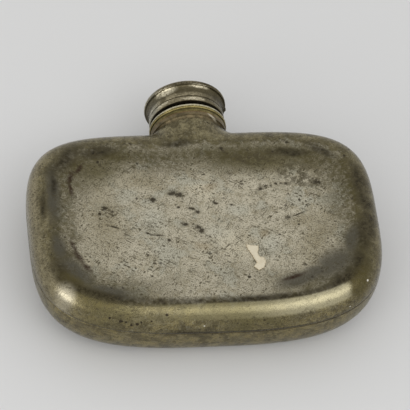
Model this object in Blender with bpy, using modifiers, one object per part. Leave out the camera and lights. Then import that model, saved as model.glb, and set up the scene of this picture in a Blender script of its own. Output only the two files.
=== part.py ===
# Pewter hip flask with a screw cap, lying on its outward-curved back.
# Metres, +Z up: X runs across the flask and +Y runs towards the cap.
# The origin is the middle of the flat land on the back that it rests on.
import math
from collections import namedtuple

import bmesh
import bpy
import numpy as np
from mathutils import Matrix

# Body: two stamped halves that meet at a seam round the edge
BODY_WIDTH = 0.125
BODY_LENGTH = 0.0864
OUTLINE_POWER = 3.6
FRONT_DEPTH = 0.0109
FRONT_EDGE = 0.0108
FRONT_EDGE_POWER = 2.47
BACK_DEPTH = 0.0160
BACK_EDGE = 0.0122
BACK_EDGE_POWER = 2.49
HIP_RISE = 0.0057
REST_LAND_WIDTH = 0.016
SHEET = 0.0012
SEAM_LIP = 0.0006

# Neck, drawn up from the two halves
NECK_RADIUS = 0.0128
NECK_HEIGHT = 0.0020
NECK_ROOT = 0.018
NECK_SIDE_BLEND = 0.007
NECK_FACE_BLEND = 0.003

# Screw collar, a turned ring with two beads and a threaded spigot
COLLAR_RADIUS = 0.0141
COLLAR_HEIGHT = 0.0042
COLLAR_WAIST_DEPTH = 0.0004
COLLAR_BEAD = 0.0007
COLLAR_LIP_LENGTH = 0.0022
COLLAR_LIP_WALL = 0.0012
SPIGOT_RADIUS = 0.0101
SPIGOT_WALL = 0.0012

# Thread, the same pitch on the spigot and in the cap
THREAD_PITCH = 0.002
THREAD_DEPTH = 0.0006
THREAD_ROOT_WIDTH = 0.0009
THREAD_CREST_WIDTH = 0.0004
THREAD_SINK = 0.0002

# Cap, a spun shell with a flared, milled rim
CAP_STANDOFF = 0.0013
CAP_HEIGHT = 0.0089
CAP_FOOT_RADIUS = 0.0134
CAP_BEAD_RADIUS = 0.0138
CAP_BEAD_HEIGHT = 0.0028
CAP_GROOVE = 0.0003
CAP_BAND_RADIUS = 0.0135
CAP_BAND_HEIGHT = 0.0018
CAP_RIM_RADIUS = 0.0150
CAP_RIM_HEIGHT = 0.0014
CAP_RIM_ROUND = 0.0004
CAP_CROWN = 0.0011
BUSH_WALL = 0.0007
CORK_THICKNESS = 0.0012

# Solder, paper and clearances
SOLDER_RADIUS = 0.0005
JOINT_SOLDER = 0.0003
PAPER_THICKNESS = 0.0002
PAPER_LENGTH = 0.0117
PAPER_X = 0.0163
PAPER_Y = -0.0190
CLEARANCE = 0.0003
PROBE = 0.00001

NEAR_MIDDLE_SHARE = 0.03

# Outline of the paper remnant, in shares of its length from its middle
PAPER_SHARES = (
    (-0.26, 0.50), (0.10, 0.43), (0.11, 0.31), (0.05, 0.17), (0.09, 0.03), (0.23, -0.04),
    (0.27, -0.19), (0.19, -0.40), (0.02, -0.50), (-0.13, -0.35), (-0.02, -0.21),
    (-0.09, -0.04), (-0.17, 0.19), (-0.24, 0.33),
)
TURN_STEPS = 48
NECK_COLUMNS = 12
OUTLINE_COLUMNS = 60
EDGE_ROWS = 6
FACE_ROWS = 4
NECK_ROWS = 2
SETTLE_ROUNDS = 6
SMOOTH_ROUNDS = 4

HALF_WIDTH = BODY_WIDTH / 2
HALF_LENGTH = BODY_LENGTH / 2
JOINT_HEIGHT = CLEARANCE + JOINT_SOLDER + CLEARANCE
TOTAL_LENGTH = (BODY_LENGTH + NECK_HEIGHT + JOINT_HEIGHT + COLLAR_HEIGHT
                + CAP_STANDOFF + CAP_HEIGHT)
BODY_Y = HALF_LENGTH - TOTAL_LENGTH / 2
NECK_END_Y = BODY_Y + HALF_LENGTH + NECK_HEIGHT
COLLAR_Y = NECK_END_Y + JOINT_HEIGHT
CAP_Y = COLLAR_Y + COLLAR_HEIGHT + CAP_STANDOFF
SEAM_Z = BACK_DEPTH
SPIGOT_BORE = SPIGOT_RADIUS - SPIGOT_WALL
SPIGOT_HEIGHT = CAP_STANDOFF + CAP_HEIGHT - CAP_CROWN - CORK_THICKNESS - 2 * CLEARANCE
BUSH_HEIGHT = CAP_HEIGHT - CAP_CROWN - CORK_THICKNESS - 3 * CLEARANCE
BUSH_BORE = SPIGOT_RADIUS + THREAD_DEPTH + CLEARANCE
BUSH_RADIUS = BUSH_BORE + BUSH_WALL
CAP_BORE = BUSH_RADIUS + CLEARANCE

Side = namedtuple("Side", "depth edge power turn")
FRONT = Side(FRONT_DEPTH, FRONT_EDGE, FRONT_EDGE_POWER, 1)
BACK = Side(BACK_DEPTH, BACK_EDGE, BACK_EDGE_POWER, -1)


def material(name, colour, roughness, metallic):
    made = bpy.data.materials.new(name)
    made.use_nodes = True
    shader = made.node_tree.nodes["Principled BSDF"]
    shader.inputs["Base Color"].default_value = (*colour, 1)
    shader.inputs["Roughness"].default_value = roughness
    shader.inputs["Metallic"].default_value = metallic
    return made


def added(name, mesh, collection, finish=None):
    """A new object of this mesh in the collection, shaded smooth between its sharp edges."""
    if finish:
        mesh.materials.append(finish)
        mesh.shade_smooth()
        mesh.set_sharp_from_angle(angle=math.radians(35))
    made = bpy.data.objects.new(name, mesh)
    collection.objects.link(made)
    return made


# Shape of the flask's outer surface, in numpy arrays of points about the body's middle
def outline_inset(x, y):
    """How far inside the seam outline each point lies."""
    x_share = np.abs(x) / HALF_WIDTH
    y_share = np.abs(y) / HALF_LENGTH
    reach = (x_share**OUTLINE_POWER + y_share**OUTLINE_POWER) ** (1 / OUTLINE_POWER)
    slope = np.hypot(x_share ** (OUTLINE_POWER - 1) / HALF_WIDTH,
                     y_share ** (OUTLINE_POWER - 1) / HALF_LENGTH)
    slope = slope * np.maximum(reach, NEAR_MIDDLE_SHARE) ** (1 - OUTLINE_POWER)
    return (1 - reach) / np.maximum(slope, 1 / (HALF_WIDTH + HALF_LENGTH))


def surface_gap(points, side):
    """Zero on the half's outer surface, negative inside: the body blended into the neck."""
    x, y, z = points.T
    edge = np.maximum(1 - outline_inset(x, y) / side.edge, 0)
    swell = (edge**side.power + (np.abs(z) / side.depth) ** side.power) ** (1 / side.power)
    body = (swell - 1) * side.edge
    root = np.maximum(HALF_LENGTH - y, 0) * NECK_RADIUS / NECK_ROOT
    neck = np.sqrt(x**2 + z**2 + root**2) - NECK_RADIUS
    lift_share = np.minimum(np.abs(z) / NECK_RADIUS, 1)
    blend = NECK_SIDE_BLEND + (NECK_FACE_BLEND - NECK_SIDE_BLEND) * lift_share
    closeness_share = np.maximum(blend - np.abs(body - neck), 0) / blend
    return np.minimum(body, neck) - closeness_share**2 * blend / 4


def settled(points, free, side):
    """The points moved onto the outer surface, each only along the axes it is free in."""
    for _ in range(SETTLE_ROUNDS):
        gap = surface_gap(points, side)
        slope = np.zeros_like(points)
        for axis in range(3):
            nudge = np.zeros(3)
            nudge[axis] = PROBE
            slope[:, axis] = (surface_gap(points + nudge, side) - gap) / PROBE
        slope = slope * free
        points = points - slope * (gap / np.maximum((slope**2).sum(axis=1), PROBE))[:, None]
    return points


def outline_at(angle):
    """The seam outline's point in this direction, and its outward normal."""
    across, along = math.cos(angle), math.sin(angle)
    x_share, y_share = abs(across) / HALF_WIDTH, abs(along) / HALF_LENGTH
    reach = (x_share**OUTLINE_POWER + y_share**OUTLINE_POWER) ** (-1 / OUTLINE_POWER)
    normal = np.array((math.copysign(x_share ** (OUTLINE_POWER - 1) / HALF_WIDTH, across),
                       math.copysign(y_share ** (OUTLINE_POWER - 1) / HALF_LENGTH, along)))
    return np.array((across, along)) * reach, normal / np.linalg.norm(normal)


def outline_angles():
    """Directions round the seam: first those across the neck's foot, then the rest."""
    foot = NECK_RADIUS + NECK_SIDE_BLEND
    across = [math.atan2(HALF_LENGTH, foot * math.cos(math.pi * i / NECK_COLUMNS))
              for i in range(NECK_COLUMNS)]
    start = math.pi - across[0]
    sweep = 2 * math.pi - (start - across[0])
    return across + [start + sweep * i / OUTLINE_COLUMNS for i in range(OUTLINE_COLUMNS)]


def hip_curve(x):
    """How far the flask's curve lifts a point this far from its middle."""
    flat = REST_LAND_WIDTH / 2
    return HIP_RISE * (np.maximum(np.abs(x) - flat, 0) / (HALF_WIDTH - flat)) ** 2


def sheet_rows(side):
    """Rows of points for half the flask, neck mouth to middle, and each one's free axes."""
    angles = outline_angles()
    foot = NECK_RADIUS + NECK_SIDE_BLEND
    spread = [math.pi * i / NECK_COLUMNS for i in range(NECK_COLUMNS + 1)]
    rows, free = [], []
    for step in range(NECK_ROWS):
        rise_share = 1 - step / NECK_ROWS
        half = NECK_RADIUS + (foot - NECK_RADIUS) * (1 - rise_share) ** 2
        rows.append([(half * math.cos(turn), HALF_LENGTH + NECK_HEIGHT * rise_share,
                      NECK_RADIUS * math.sin(turn)) for turn in spread])
        free.append([(1, float(step > 0), float(0 < i < NECK_COLUMNS))
                     for i in range(NECK_COLUMNS + 1)])
    for tilt in [math.pi / 2 * i / EDGE_ROWS for i in range(EDGE_ROWS + 1)]:
        inset = side.edge * (1 - math.cos(tilt) ** (2 / side.power))
        height_share = math.sin(tilt) ** (2 / side.power)
        row, row_free = [], []
        for i, angle in enumerate(angles):
            point, normal = outline_at(angle)
            neck_height = NECK_RADIUS * math.sin(spread[i]) if i < NECK_COLUMNS else 0
            height = neck_height + (side.depth - neck_height) * height_share
            row.append((*(point - normal * inset), height))
            row_free.append((1, 1, float(tilt > 0 or 0 < i < NECK_COLUMNS)))
        rows.append(row)
        free.append(row_free)
    last = rows[-1]
    for step in range(1, FACE_ROWS):
        inward_share = 1 - step / FACE_ROWS
        rows.append([(x * inward_share, y * inward_share, side.depth) for x, y, _ in last])
        free.append([(1, 1, 1)] * len(last))
    return rows, free


def sheet_faces(rows):
    """Vertex numbers of the sheet's faces. The short rows across the neck come first."""
    starts = np.cumsum([0] + [len(row) for row in rows])
    faces = []
    for upper, lower in zip(range(len(rows) - 1), range(1, len(rows))):
        count = len(rows[upper])
        closed = upper >= NECK_ROWS
        for i in range(count if closed else count - 1):
            j = (i + 1) % count
            faces.append((starts[upper] + i, starts[upper] + j, starts[lower] + j,
                          starts[lower] + i))
    ring = starts[len(rows) - 1]
    middle = starts[-1]
    faces += [(ring + i, ring + (i + 1) % len(rows[-1]), middle) for i in range(len(rows[-1]))]
    return [[int(corner) for corner in face] for face in faces]


def seam_corners(rows):
    """Vertex numbers along the seam, from the mouth's right side round to its left side."""
    starts = [int(start) for start in np.cumsum([0] + [len(row) for row in rows])]
    ring = starts[NECK_ROWS]
    right = [starts[row] for row in range(NECK_ROWS + 1)]
    round_the_body = [ring + i for i in range(len(rows[NECK_ROWS]) - 1, NECK_COLUMNS, -1)]
    left = [starts[row] + NECK_COLUMNS for row in range(NECK_ROWS, -1, -1)]
    return right + round_the_body + left


def smoothed(points, faces, free, near):
    """The points near the neck's foot moved halfway to the mean of their neighbours."""
    total = np.zeros_like(points)
    count = np.zeros(len(points))
    for face in faces:
        for a, b in zip(face, face[1:] + face[:1]):
            total[a] += points[b]
            total[b] += points[a]
            count[[a, b]] += 1
    mean = total / count[:, None]
    return np.where(near[:, None] & (free > 0), (points + mean) / 2, points)


def half_points(side):
    """The sheet's settled points, in metres about the body's middle, and its faces."""
    rows, free_rows = sheet_rows(side)
    faces = sheet_faces(rows)
    points = np.array([point for row in rows for point in row] + [(0, 0, side.depth)])
    free = np.array([axes for row in free_rows for axes in row] + [(0, 0, 1)], float)
    points = settled(points, free, side)
    foot = NECK_RADIUS + NECK_SIDE_BLEND
    near = (free.sum(axis=1) == 3) & (np.abs(points[:, 0]) < foot)
    near &= points[:, 1] > HALF_LENGTH - NECK_ROOT
    for _ in range(SMOOTH_ROUNDS):
        points = settled(smoothed(points, faces, free, near), free, side)
    seam = seam_corners(rows)
    lip = points[seam]
    points[seam, 2] = SEAM_LIP
    lip[:, 2] = CLEARANCE / 2
    first = len(points)
    for i, (a, b) in enumerate(zip(seam, seam[1:])):
        faces.append([a, b, first + i + 1, first + i])
    return np.concatenate([points, lip]), faces


def half_shell(name, side, collection, finish):
    """One stamped half of the flask with its half of the neck, open at the seam and the mouth."""
    points, faces = half_points(side)
    points[:, 1] += BODY_Y
    points[:, 2] = SEAM_Z + points[:, 2] * side.turn + hip_curve(points[:, 0])
    if side.turn < 0:
        faces = [face[::-1] for face in faces]
    mesh = bpy.data.meshes.new(name)
    mesh.from_pydata(points.tolist(), [], faces)
    made = added(name, mesh, collection, finish)
    wall = made.modifiers.new("sheet", "SOLIDIFY")
    wall.thickness = SHEET
    wall.offset = -1
    wall.use_even_offset = True
    wall.use_rim = True
    return made


# Turned pieces: a profile of (radius, height along the neck) points, spun round the neck's axis
def arc(radius, height, bulge, start, end, steps):
    """Points of an arc about (radius, height), from one angle in degrees to another."""
    turns = [math.radians(start + (end - start) * i / steps) for i in range(steps + 1)]
    return [(radius + bulge * math.cos(turn), height + bulge * math.sin(turn)) for turn in turns]


def turned(name, profile, along, collection, finish, closed):
    """A piece turned from a profile that runs down its outer side, set on the neck's axis."""
    mesh = bpy.data.meshes.new(name)
    edges = [(i, i + 1) for i in range(len(profile) - 1)]
    if closed:
        edges.append((len(profile) - 1, 0))
    mesh.from_pydata([(radius, 0, height) for radius, height in profile], edges, [])
    made = added(name, mesh, collection, finish)
    made.location = (0, along, SEAM_Z)
    made.rotation_euler = (-math.pi / 2, 0, 0)
    spin = made.modifiers.new("turning", "SCREW")
    spin.steps = TURN_STEPS
    spin.render_steps = TURN_STEPS
    spin.use_merge_vertices = True
    spin.merge_threshold = PROBE
    spin.use_smooth_shade = bool(finish)
    return made


def thread_ridge(name, wall_radius, inward, start, length, carrier, cutters):
    """A helical ridge on the wall of a turned piece, joined to it."""
    bm = bmesh.new()
    outward = -1 if inward else 1
    root = wall_radius - outward * THREAD_SINK
    crest = wall_radius + outward * THREAD_DEPTH
    section = [(root, -THREAD_ROOT_WIDTH / 2), (crest, -THREAD_CREST_WIDTH / 2),
               (crest, THREAD_CREST_WIDTH / 2), (root, THREAD_ROOT_WIDTH / 2)]
    corners = [bm.verts.new((radius, 0, start + height)) for radius, height in section]
    face = bm.faces.new(corners)
    steps = max(round(length / THREAD_PITCH * TURN_STEPS), 1)
    bmesh.ops.spin(bm, geom=[face, *face.edges, *corners], cent=(0, 0, 0), axis=(0, 0, 1),
                   dvec=(0, 0, THREAD_PITCH / TURN_STEPS), angle=2 * math.pi * steps / TURN_STEPS,
                   steps=steps, use_merge=False, space=Matrix())
    bmesh.ops.recalc_face_normals(bm, faces=bm.faces)
    mesh = bpy.data.meshes.new(name)
    bm.to_mesh(mesh)
    bm.free()
    ridge = added(name, mesh, cutters)
    ridge.location = carrier.location
    ridge.rotation_euler = carrier.rotation_euler
    ridge.hide_render = True
    ridge.display_type = "WIRE"
    join = carrier.modifiers.new("thread", "BOOLEAN")
    join.operation = "UNION"
    join.object = ridge


def neck_collar(collection, cutters, finish):
    """The screw collar: two beads with a waist between, a lip in the neck and the spigot."""
    waist = COLLAR_RADIUS - COLLAR_WAIST_DEPTH
    bead_centre = COLLAR_RADIUS - COLLAR_BEAD
    lip = NECK_RADIUS - SHEET - CLEARANCE
    top = COLLAR_HEIGHT
    profile = [(SPIGOT_RADIUS, top + SPIGOT_HEIGHT), (SPIGOT_RADIUS, top)]
    profile += arc(bead_centre, top - COLLAR_BEAD, COLLAR_BEAD, 90, -60, 5)
    profile += [(waist, top - 2 * COLLAR_BEAD), (waist, 2 * COLLAR_BEAD)]
    profile += arc(bead_centre, COLLAR_BEAD, COLLAR_BEAD, 60, -90, 5)
    profile += [(lip, 0), (lip, -JOINT_HEIGHT - COLLAR_LIP_LENGTH)]
    profile += [(lip - COLLAR_LIP_WALL, -JOINT_HEIGHT - COLLAR_LIP_LENGTH)]
    profile += [(lip - COLLAR_LIP_WALL, 0), (SPIGOT_BORE, top - COLLAR_BEAD)]
    profile += [(SPIGOT_BORE, top + SPIGOT_HEIGHT)]
    made = turned("neck_collar", profile, COLLAR_Y, collection, finish, True)
    start = COLLAR_HEIGHT + CAP_STANDOFF + THREAD_ROOT_WIDTH / 2
    length = SPIGOT_HEIGHT - CAP_STANDOFF - 2 * THREAD_ROOT_WIDTH
    thread_ridge("spigot_thread", SPIGOT_RADIUS, False, start, length, made, cutters)
    return start


def collar_solder(collection, finish):
    """The ring of solder between the neck's end and the collar."""
    inner = NECK_RADIUS - SHEET
    outer = NECK_RADIUS
    low = CLEARANCE
    high = CLEARANCE + JOINT_SOLDER
    profile = [(inner, high), (outer, high), (outer, low), (inner, low)]
    turned("collar_solder", profile, NECK_END_Y, collection, finish, True)


def cap_shell(collection, finish):
    """The spun cap: a bead at its foot, a groove, a plain band, a flare and the rim."""
    rim_low = CAP_HEIGHT - CAP_RIM_HEIGHT
    band_low = CAP_BEAD_HEIGHT + CAP_GROOVE
    band_high = band_low + CAP_BAND_HEIGHT
    flare_height = rim_low - band_high
    flare_reach = CAP_RIM_RADIUS - CAP_RIM_ROUND - CAP_BAND_RADIUS
    bulge = CAP_BEAD_RADIUS - CAP_FOOT_RADIUS
    crown = CAP_HEIGHT - CAP_CROWN
    profile = [(0, CAP_HEIGHT)]
    profile += arc(CAP_RIM_RADIUS - CAP_RIM_ROUND, CAP_HEIGHT - CAP_RIM_ROUND, CAP_RIM_ROUND,
                   90, 0, 2)
    profile += [(CAP_RIM_RADIUS, rim_low)]
    for step in range(6):
        turn = math.pi / 2 * step / 5
        profile.append((CAP_BAND_RADIUS + flare_reach * (1 - math.sin(turn)),
                        band_high + flare_height * math.cos(turn)))
    profile += [(CAP_BAND_RADIUS, band_low), (CAP_BAND_RADIUS - CAP_GROOVE, band_low)]
    profile += [(CAP_BAND_RADIUS - CAP_GROOVE, CAP_BEAD_HEIGHT)]
    for step in range(5):
        turn = math.pi * step / 4
        profile.append((CAP_FOOT_RADIUS + bulge * math.sin(turn),
                        CAP_BEAD_HEIGHT / 2 * (1 + math.cos(turn))))
    profile += [(CAP_BORE, 0), (CAP_BORE, crown), (0, crown)]
    turned("cap_shell", profile, CAP_Y, collection, finish, False)


def cap_bush(collection, cutters, finish, spigot_thread_start):
    """The threaded bush in the cap, set half a pitch from the spigot's thread."""
    low = CLEARANCE
    high = low + BUSH_HEIGHT
    profile = [(BUSH_BORE, high), (BUSH_RADIUS, high), (BUSH_RADIUS, low), (BUSH_BORE, low)]
    made = turned("cap_bush", profile, CAP_Y, collection, finish, True)
    offset = spigot_thread_start - COLLAR_HEIGHT - CAP_STANDOFF + THREAD_PITCH / 2
    lowest = low + THREAD_ROOT_WIDTH / 2
    start = lowest + (offset - lowest) % THREAD_PITCH
    length = BUSH_HEIGHT - THREAD_ROOT_WIDTH - THREAD_PITCH
    thread_ridge("bush_thread", BUSH_BORE, True, start, length, made, cutters)


def cork_seal(collection, finish):
    """The cork disc between the spigot's mouth and the cap's crown."""
    high = CAP_HEIGHT - CAP_CROWN - CLEARANCE
    radius = BUSH_BORE
    profile = [(0, high), (radius, high), (radius, high - CORK_THICKNESS),
               (0, high - CORK_THICKNESS)]
    turned("cork_seal", profile, CAP_Y, collection, finish, False)


def seam_solder(collection, finish):
    """The run of solder along the inside of the seam, from one side of the neck to the other."""
    inset = SHEET + CLEARANCE + SOLDER_RADIUS
    angles = outline_angles()[NECK_COLUMNS:]
    route = []
    for angle in angles[1:]:
        point, normal = outline_at(angle)
        x, y = point - normal * inset
        route.append((x, y + BODY_Y, SEAM_Z + float(hip_curve(x))))
    curve = bpy.data.curves.new("seam_solder", "CURVE")
    curve.dimensions = "3D"
    curve.bevel_depth = SOLDER_RADIUS
    curve.bevel_resolution = 1
    curve.use_fill_caps = True
    spline = curve.splines.new("POLY")
    spline.points.add(len(route) - 1)
    for point, place in zip(spline.points, route):
        point.co = (*place, 1)
    curve.materials.append(finish)
    made = bpy.data.objects.new("seam_solder", curve)
    collection.objects.link(made)


def paper_label(collection, finish):
    """The scrap of an old paper label left on the front."""
    bm = bmesh.new()
    corners = []
    for x_share, y_share in PAPER_SHARES:
        x = PAPER_X + x_share * PAPER_LENGTH
        y = PAPER_Y + y_share * PAPER_LENGTH
        z = SEAM_Z + FRONT_DEPTH + CLEARANCE + float(hip_curve(x))
        corners.append(bm.verts.new((x, y + BODY_Y, z)))
    face = bm.faces.new(corners)
    if face.normal.z < 0:
        face.normal_flip()
    bmesh.ops.triangulate(bm, faces=[face])
    raised = bmesh.ops.extrude_face_region(bm, geom=bm.faces[:])["geom"]
    tops = [item for item in raised if isinstance(item, bmesh.types.BMVert)]
    bmesh.ops.translate(bm, verts=tops, vec=(0, 0, PAPER_THICKNESS))
    bmesh.ops.recalc_face_normals(bm, faces=bm.faces)
    mesh = bpy.data.meshes.new("paper_label")
    bm.to_mesh(mesh)
    bm.free()
    added("paper_label", mesh, collection, finish)


for old in list(bpy.data.objects):
    bpy.data.objects.remove(old)
flask = bpy.data.collections.new("pewter_flask")
helpers = bpy.data.collections.new("thread_ridges")
bpy.context.scene.collection.children.link(flask)
bpy.context.scene.collection.children.link(helpers)

pewter = material("aged_pewter", (0.32, 0.31, 0.27), 0.45, 0.9)
brass = material("dull_brass", (0.42, 0.36, 0.20), 0.35, 1.0)
solder = material("grey_solder", (0.30, 0.29, 0.27), 0.6, 0.9)
cork = material("dark_cork", (0.35, 0.22, 0.12), 0.9, 0.0)
paper = material("old_paper", (0.80, 0.74, 0.60), 0.9, 0.0)

half_shell("front_shell", FRONT, flask, pewter)
half_shell("back_shell", BACK, flask, pewter)
seam_solder(flask, solder)
collar_solder(flask, solder)
thread_start = neck_collar(flask, helpers, brass)
cap_shell(flask, pewter)
cap_bush(flask, helpers, brass, thread_start)
cork_seal(flask, cork)
paper_label(flask, paper)
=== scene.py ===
import math

import bmesh
import bpy
import numpy as np
from mathutils import Matrix, Vector, noise


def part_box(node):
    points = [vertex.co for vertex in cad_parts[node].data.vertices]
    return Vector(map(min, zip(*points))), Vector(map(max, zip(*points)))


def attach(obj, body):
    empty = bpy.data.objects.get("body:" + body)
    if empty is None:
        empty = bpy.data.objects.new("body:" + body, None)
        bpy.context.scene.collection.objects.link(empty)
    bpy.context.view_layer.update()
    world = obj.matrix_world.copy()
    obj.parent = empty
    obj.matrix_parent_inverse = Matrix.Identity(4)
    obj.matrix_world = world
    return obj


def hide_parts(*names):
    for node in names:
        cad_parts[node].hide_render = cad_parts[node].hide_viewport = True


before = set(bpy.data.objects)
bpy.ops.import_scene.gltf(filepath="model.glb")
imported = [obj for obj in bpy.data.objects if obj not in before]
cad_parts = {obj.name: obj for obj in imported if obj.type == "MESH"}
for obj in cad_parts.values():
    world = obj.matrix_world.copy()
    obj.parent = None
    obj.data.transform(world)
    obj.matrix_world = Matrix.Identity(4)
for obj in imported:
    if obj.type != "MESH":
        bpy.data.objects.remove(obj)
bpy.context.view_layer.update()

# The pale table top that the flask lies on. It is a plain matt sheet, seen from above at the
# photograph's angle by one camera with a long lens.
front_low, front_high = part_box("front_shell")
back_low, back_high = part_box("back_shell")
collar_low, collar_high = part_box("neck_collar")
BODY_LENGTH = 0.0864
HALF_WIDTH = front_high.x
HALF_LENGTH = BODY_LENGTH / 2
BODY_Y = front_low.y + HALF_LENGTH
SEAM_Z = (collar_low.z + collar_high.z) / 2
BODY_MIDDLE = Vector((0, BODY_Y, SEAM_Z))
CAMERA_RIGHT = Vector((0.9906, -0.1080, 0.0840))
CAMERA_UP = Vector((0.0327, 0.7830, 0.6212))
CAMERA_BACK = Vector((-0.1329, -0.6126, 0.7792))
CAMERA_DISTANCE = 1.25
FRAME_PIXELS = 410
FOCAL_PIXELS = 3504.8
BODY_PIXEL = (202.2, 236.0)
SENSOR_MM = 36
LENS_NEAR = 0.05
LENS_FAR = 10
SHARP_DEGREES = 38
TABLE_SIZE = 3.0
TABLE_COLOUR = (0.72, 0.72, 0.715, 1)
TABLE_ROUGHNESS = 0.9
TABLE_SHINE = 0.2


def new_finish(name):
    """A new material with nodes."""
    made = bpy.data.materials.new(name)
    made.use_nodes = True
    return made


def mesh_object(name, shape, *finishes):
    """An object with this bmesh's shape, shaded smooth between its sharp edges."""
    mesh = bpy.data.meshes.new(name)
    shape.to_mesh(mesh)
    shape.free()
    for finish in finishes:
        mesh.materials.append(finish)
    mesh.shade_smooth()
    mesh.set_sharp_from_angle(angle=math.radians(SHARP_DEGREES))
    made = bpy.data.objects.new(name, mesh)
    bpy.context.scene.collection.objects.link(made)
    return made


table_finish = new_finish("table_top")
table_shader = table_finish.node_tree.nodes["Principled BSDF"]
table_shader.inputs["Base Color"].default_value = TABLE_COLOUR
table_shader.inputs["Roughness"].default_value = TABLE_ROUGHNESS
table_shader.inputs["Specular IOR Level"].default_value = TABLE_SHINE
table_shape = bmesh.new()
bmesh.ops.create_grid(table_shape, x_segments=1, y_segments=1, size=TABLE_SIZE / 2)
table_top = mesh_object("table_top", table_shape, table_finish)

across = (FRAME_PIXELS / 2 - BODY_PIXEL[0]) / FOCAL_PIXELS
down = (FRAME_PIXELS / 2 - BODY_PIXEL[1]) / FOCAL_PIXELS
sight = (CAMERA_RIGHT * across - CAMERA_UP * down - CAMERA_BACK).normalized()
camera_x = CAMERA_UP.cross(-sight).normalized()
camera_y = (-sight).cross(camera_x)
lens = bpy.data.cameras.new("camera")
lens.sensor_width = SENSOR_MM
lens.lens = FOCAL_PIXELS / FRAME_PIXELS * SENSOR_MM
lens.clip_start = LENS_NEAR
lens.clip_end = LENS_FAR
camera = bpy.data.objects.new("camera", lens)
camera.matrix_world = Matrix((
    (camera_x.x, camera_y.x, -sight.x, 0),
    (camera_x.y, camera_y.y, -sight.y, 0),
    (camera_x.z, camera_y.z, -sight.z, 0),
    (0, 0, 0, 1),
))
camera.location = BODY_MIDDLE + CAMERA_BACK * CAMERA_DISTANCE
bpy.context.scene.collection.objects.link(camera)
bpy.context.scene.camera = camera
bpy.context.scene.view_settings.view_transform = "Standard"

# Soft studio light: an even pale room, a broad lamp on each side and a wide one in front. Each
# has its direction from the flask, its distance and size, and its share of the table's light.
ROOM_COLOUR = (1, 1, 1, 1)
ROOM_LIGHT = 0.74
LAMPS = (
    ("lamp_right", (0.38, -0.47, 0.80), 1.4, (0.90, 0.70), 0.035),
    ("lamp_left", (-0.72, -0.665, 0.205), 1.4, (0.90, 0.90), 0.052),
    ("lamp_front", (0.0, -0.68, 0.73), 1.5, (2.4, 0.8), 0.16),
)
room = bpy.data.worlds.new("room")
bpy.context.scene.world = room
room.use_nodes = True
room_shader = room.node_tree.nodes["Background"]
room_shader.inputs["Color"].default_value = ROOM_COLOUR
room_shader.inputs["Strength"].default_value = ROOM_LIGHT
for lamp_name, towards, distance, (lamp_width, lamp_depth), share in LAMPS:
    light = bpy.data.lights.new(lamp_name, "AREA")
    light.shape = "RECTANGLE"
    light.size = lamp_width
    light.size_y = lamp_depth
    lamp = bpy.data.objects.new(lamp_name, light)
    direction = Vector(towards).normalized()
    light.energy = share * math.pi**2 * distance**2 / direction.z
    lamp.location = BODY_MIDDLE + direction * distance
    lamp.rotation_euler = direction.to_track_quat("Z", "Y").to_euler()
    bpy.context.scene.collection.objects.link(lamp)

# The flask's two halves, each pressed from one sheet of pewter with its half of the neck. The
# front curves inwards across the flask and the back outwards, and each meets the other at a
# seam round the edge.
OUTLINE_POWER = 3.6
HIP_RISE = 0.0057
REST_LAND_WIDTH = 0.016
SHEET = 0.0012
SEAM_LIP = 0.0006
SEAM_GAP = 0.00016
NECK_RADIUS = 0.0128
NECK_HEIGHT = 0.0020
NECK_ROOT = 0.018
NECK_SIDE_BLEND = 0.007
NECK_FACE_BLEND = 0.003
NEAR_MIDDLE_SHARE = 0.03
PROBE = 0.00001
RING_STEPS = 320
NECK_STEPS = 56
NECK_ROWS = 7
EDGE_ROWS = 20
FACE_ROWS = 16
SETTLE_ROUNDS = 7
SMOOTH_ROUNDS = 10
SMOOTH_FACTOR = 0.5
WAVE_DEPTH = 0.00007
WAVE_LENGTH = 0.016
WAVE_SHIFT = 7
WAVE_EDGE_MM = 6
WAVE_NECK = 0.005
MM = 1000
NECK_FOOT = NECK_RADIUS + NECK_SIDE_BLEND
SEAM_CORNER = math.atan2(HALF_LENGTH, NECK_FOOT)
SEAM_START = math.pi - SEAM_CORNER
SEAM_SWEEP = math.pi + 2 * SEAM_CORNER


class Side:
    """The measures of one pressed half: its depth, how wide its rounded edge is, and its roundness."""

    def __init__(self, depth, edge, power, turn):
        self.depth = depth
        self.edge = edge
        self.power = power
        self.turn = turn


FRONT = Side(0.0109, 0.0108, 2.47, 1)
BACK = Side(0.0160, 0.0122, 2.49, -1)


def outline_inset(x, y):
    """How far inside the seam outline each point lies."""
    x_share = np.abs(x) / HALF_WIDTH
    y_share = np.abs(y) / HALF_LENGTH
    reach = (x_share**OUTLINE_POWER + y_share**OUTLINE_POWER) ** (1 / OUTLINE_POWER)
    slope = np.hypot(x_share ** (OUTLINE_POWER - 1) / HALF_WIDTH,
                     y_share ** (OUTLINE_POWER - 1) / HALF_LENGTH)
    slope = slope * np.maximum(reach, NEAR_MIDDLE_SHARE) ** (1 - OUTLINE_POWER)
    return (1 - reach) / np.maximum(slope, 1 / (HALF_WIDTH + HALF_LENGTH))


def surface_gap(points, side):
    """Zero on the half's outer surface, negative inside: the body blended into the neck."""
    x, y, z = points.T
    edge = np.maximum(1 - outline_inset(x, y) / side.edge, 0)
    swell = (edge**side.power + (np.abs(z) / side.depth) ** side.power) ** (1 / side.power)
    body = (swell - 1) * side.edge
    root = np.maximum(HALF_LENGTH - y, 0) * NECK_RADIUS / NECK_ROOT
    neck = np.sqrt(x**2 + z**2 + root**2) - NECK_RADIUS
    lift_share = np.minimum(np.abs(z) / NECK_RADIUS, 1)
    blend = NECK_SIDE_BLEND + (NECK_FACE_BLEND - NECK_SIDE_BLEND) * lift_share
    closeness_share = np.maximum(blend - np.abs(body - neck), 0) / blend
    return np.minimum(body, neck) - closeness_share**2 * blend / 4


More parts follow.
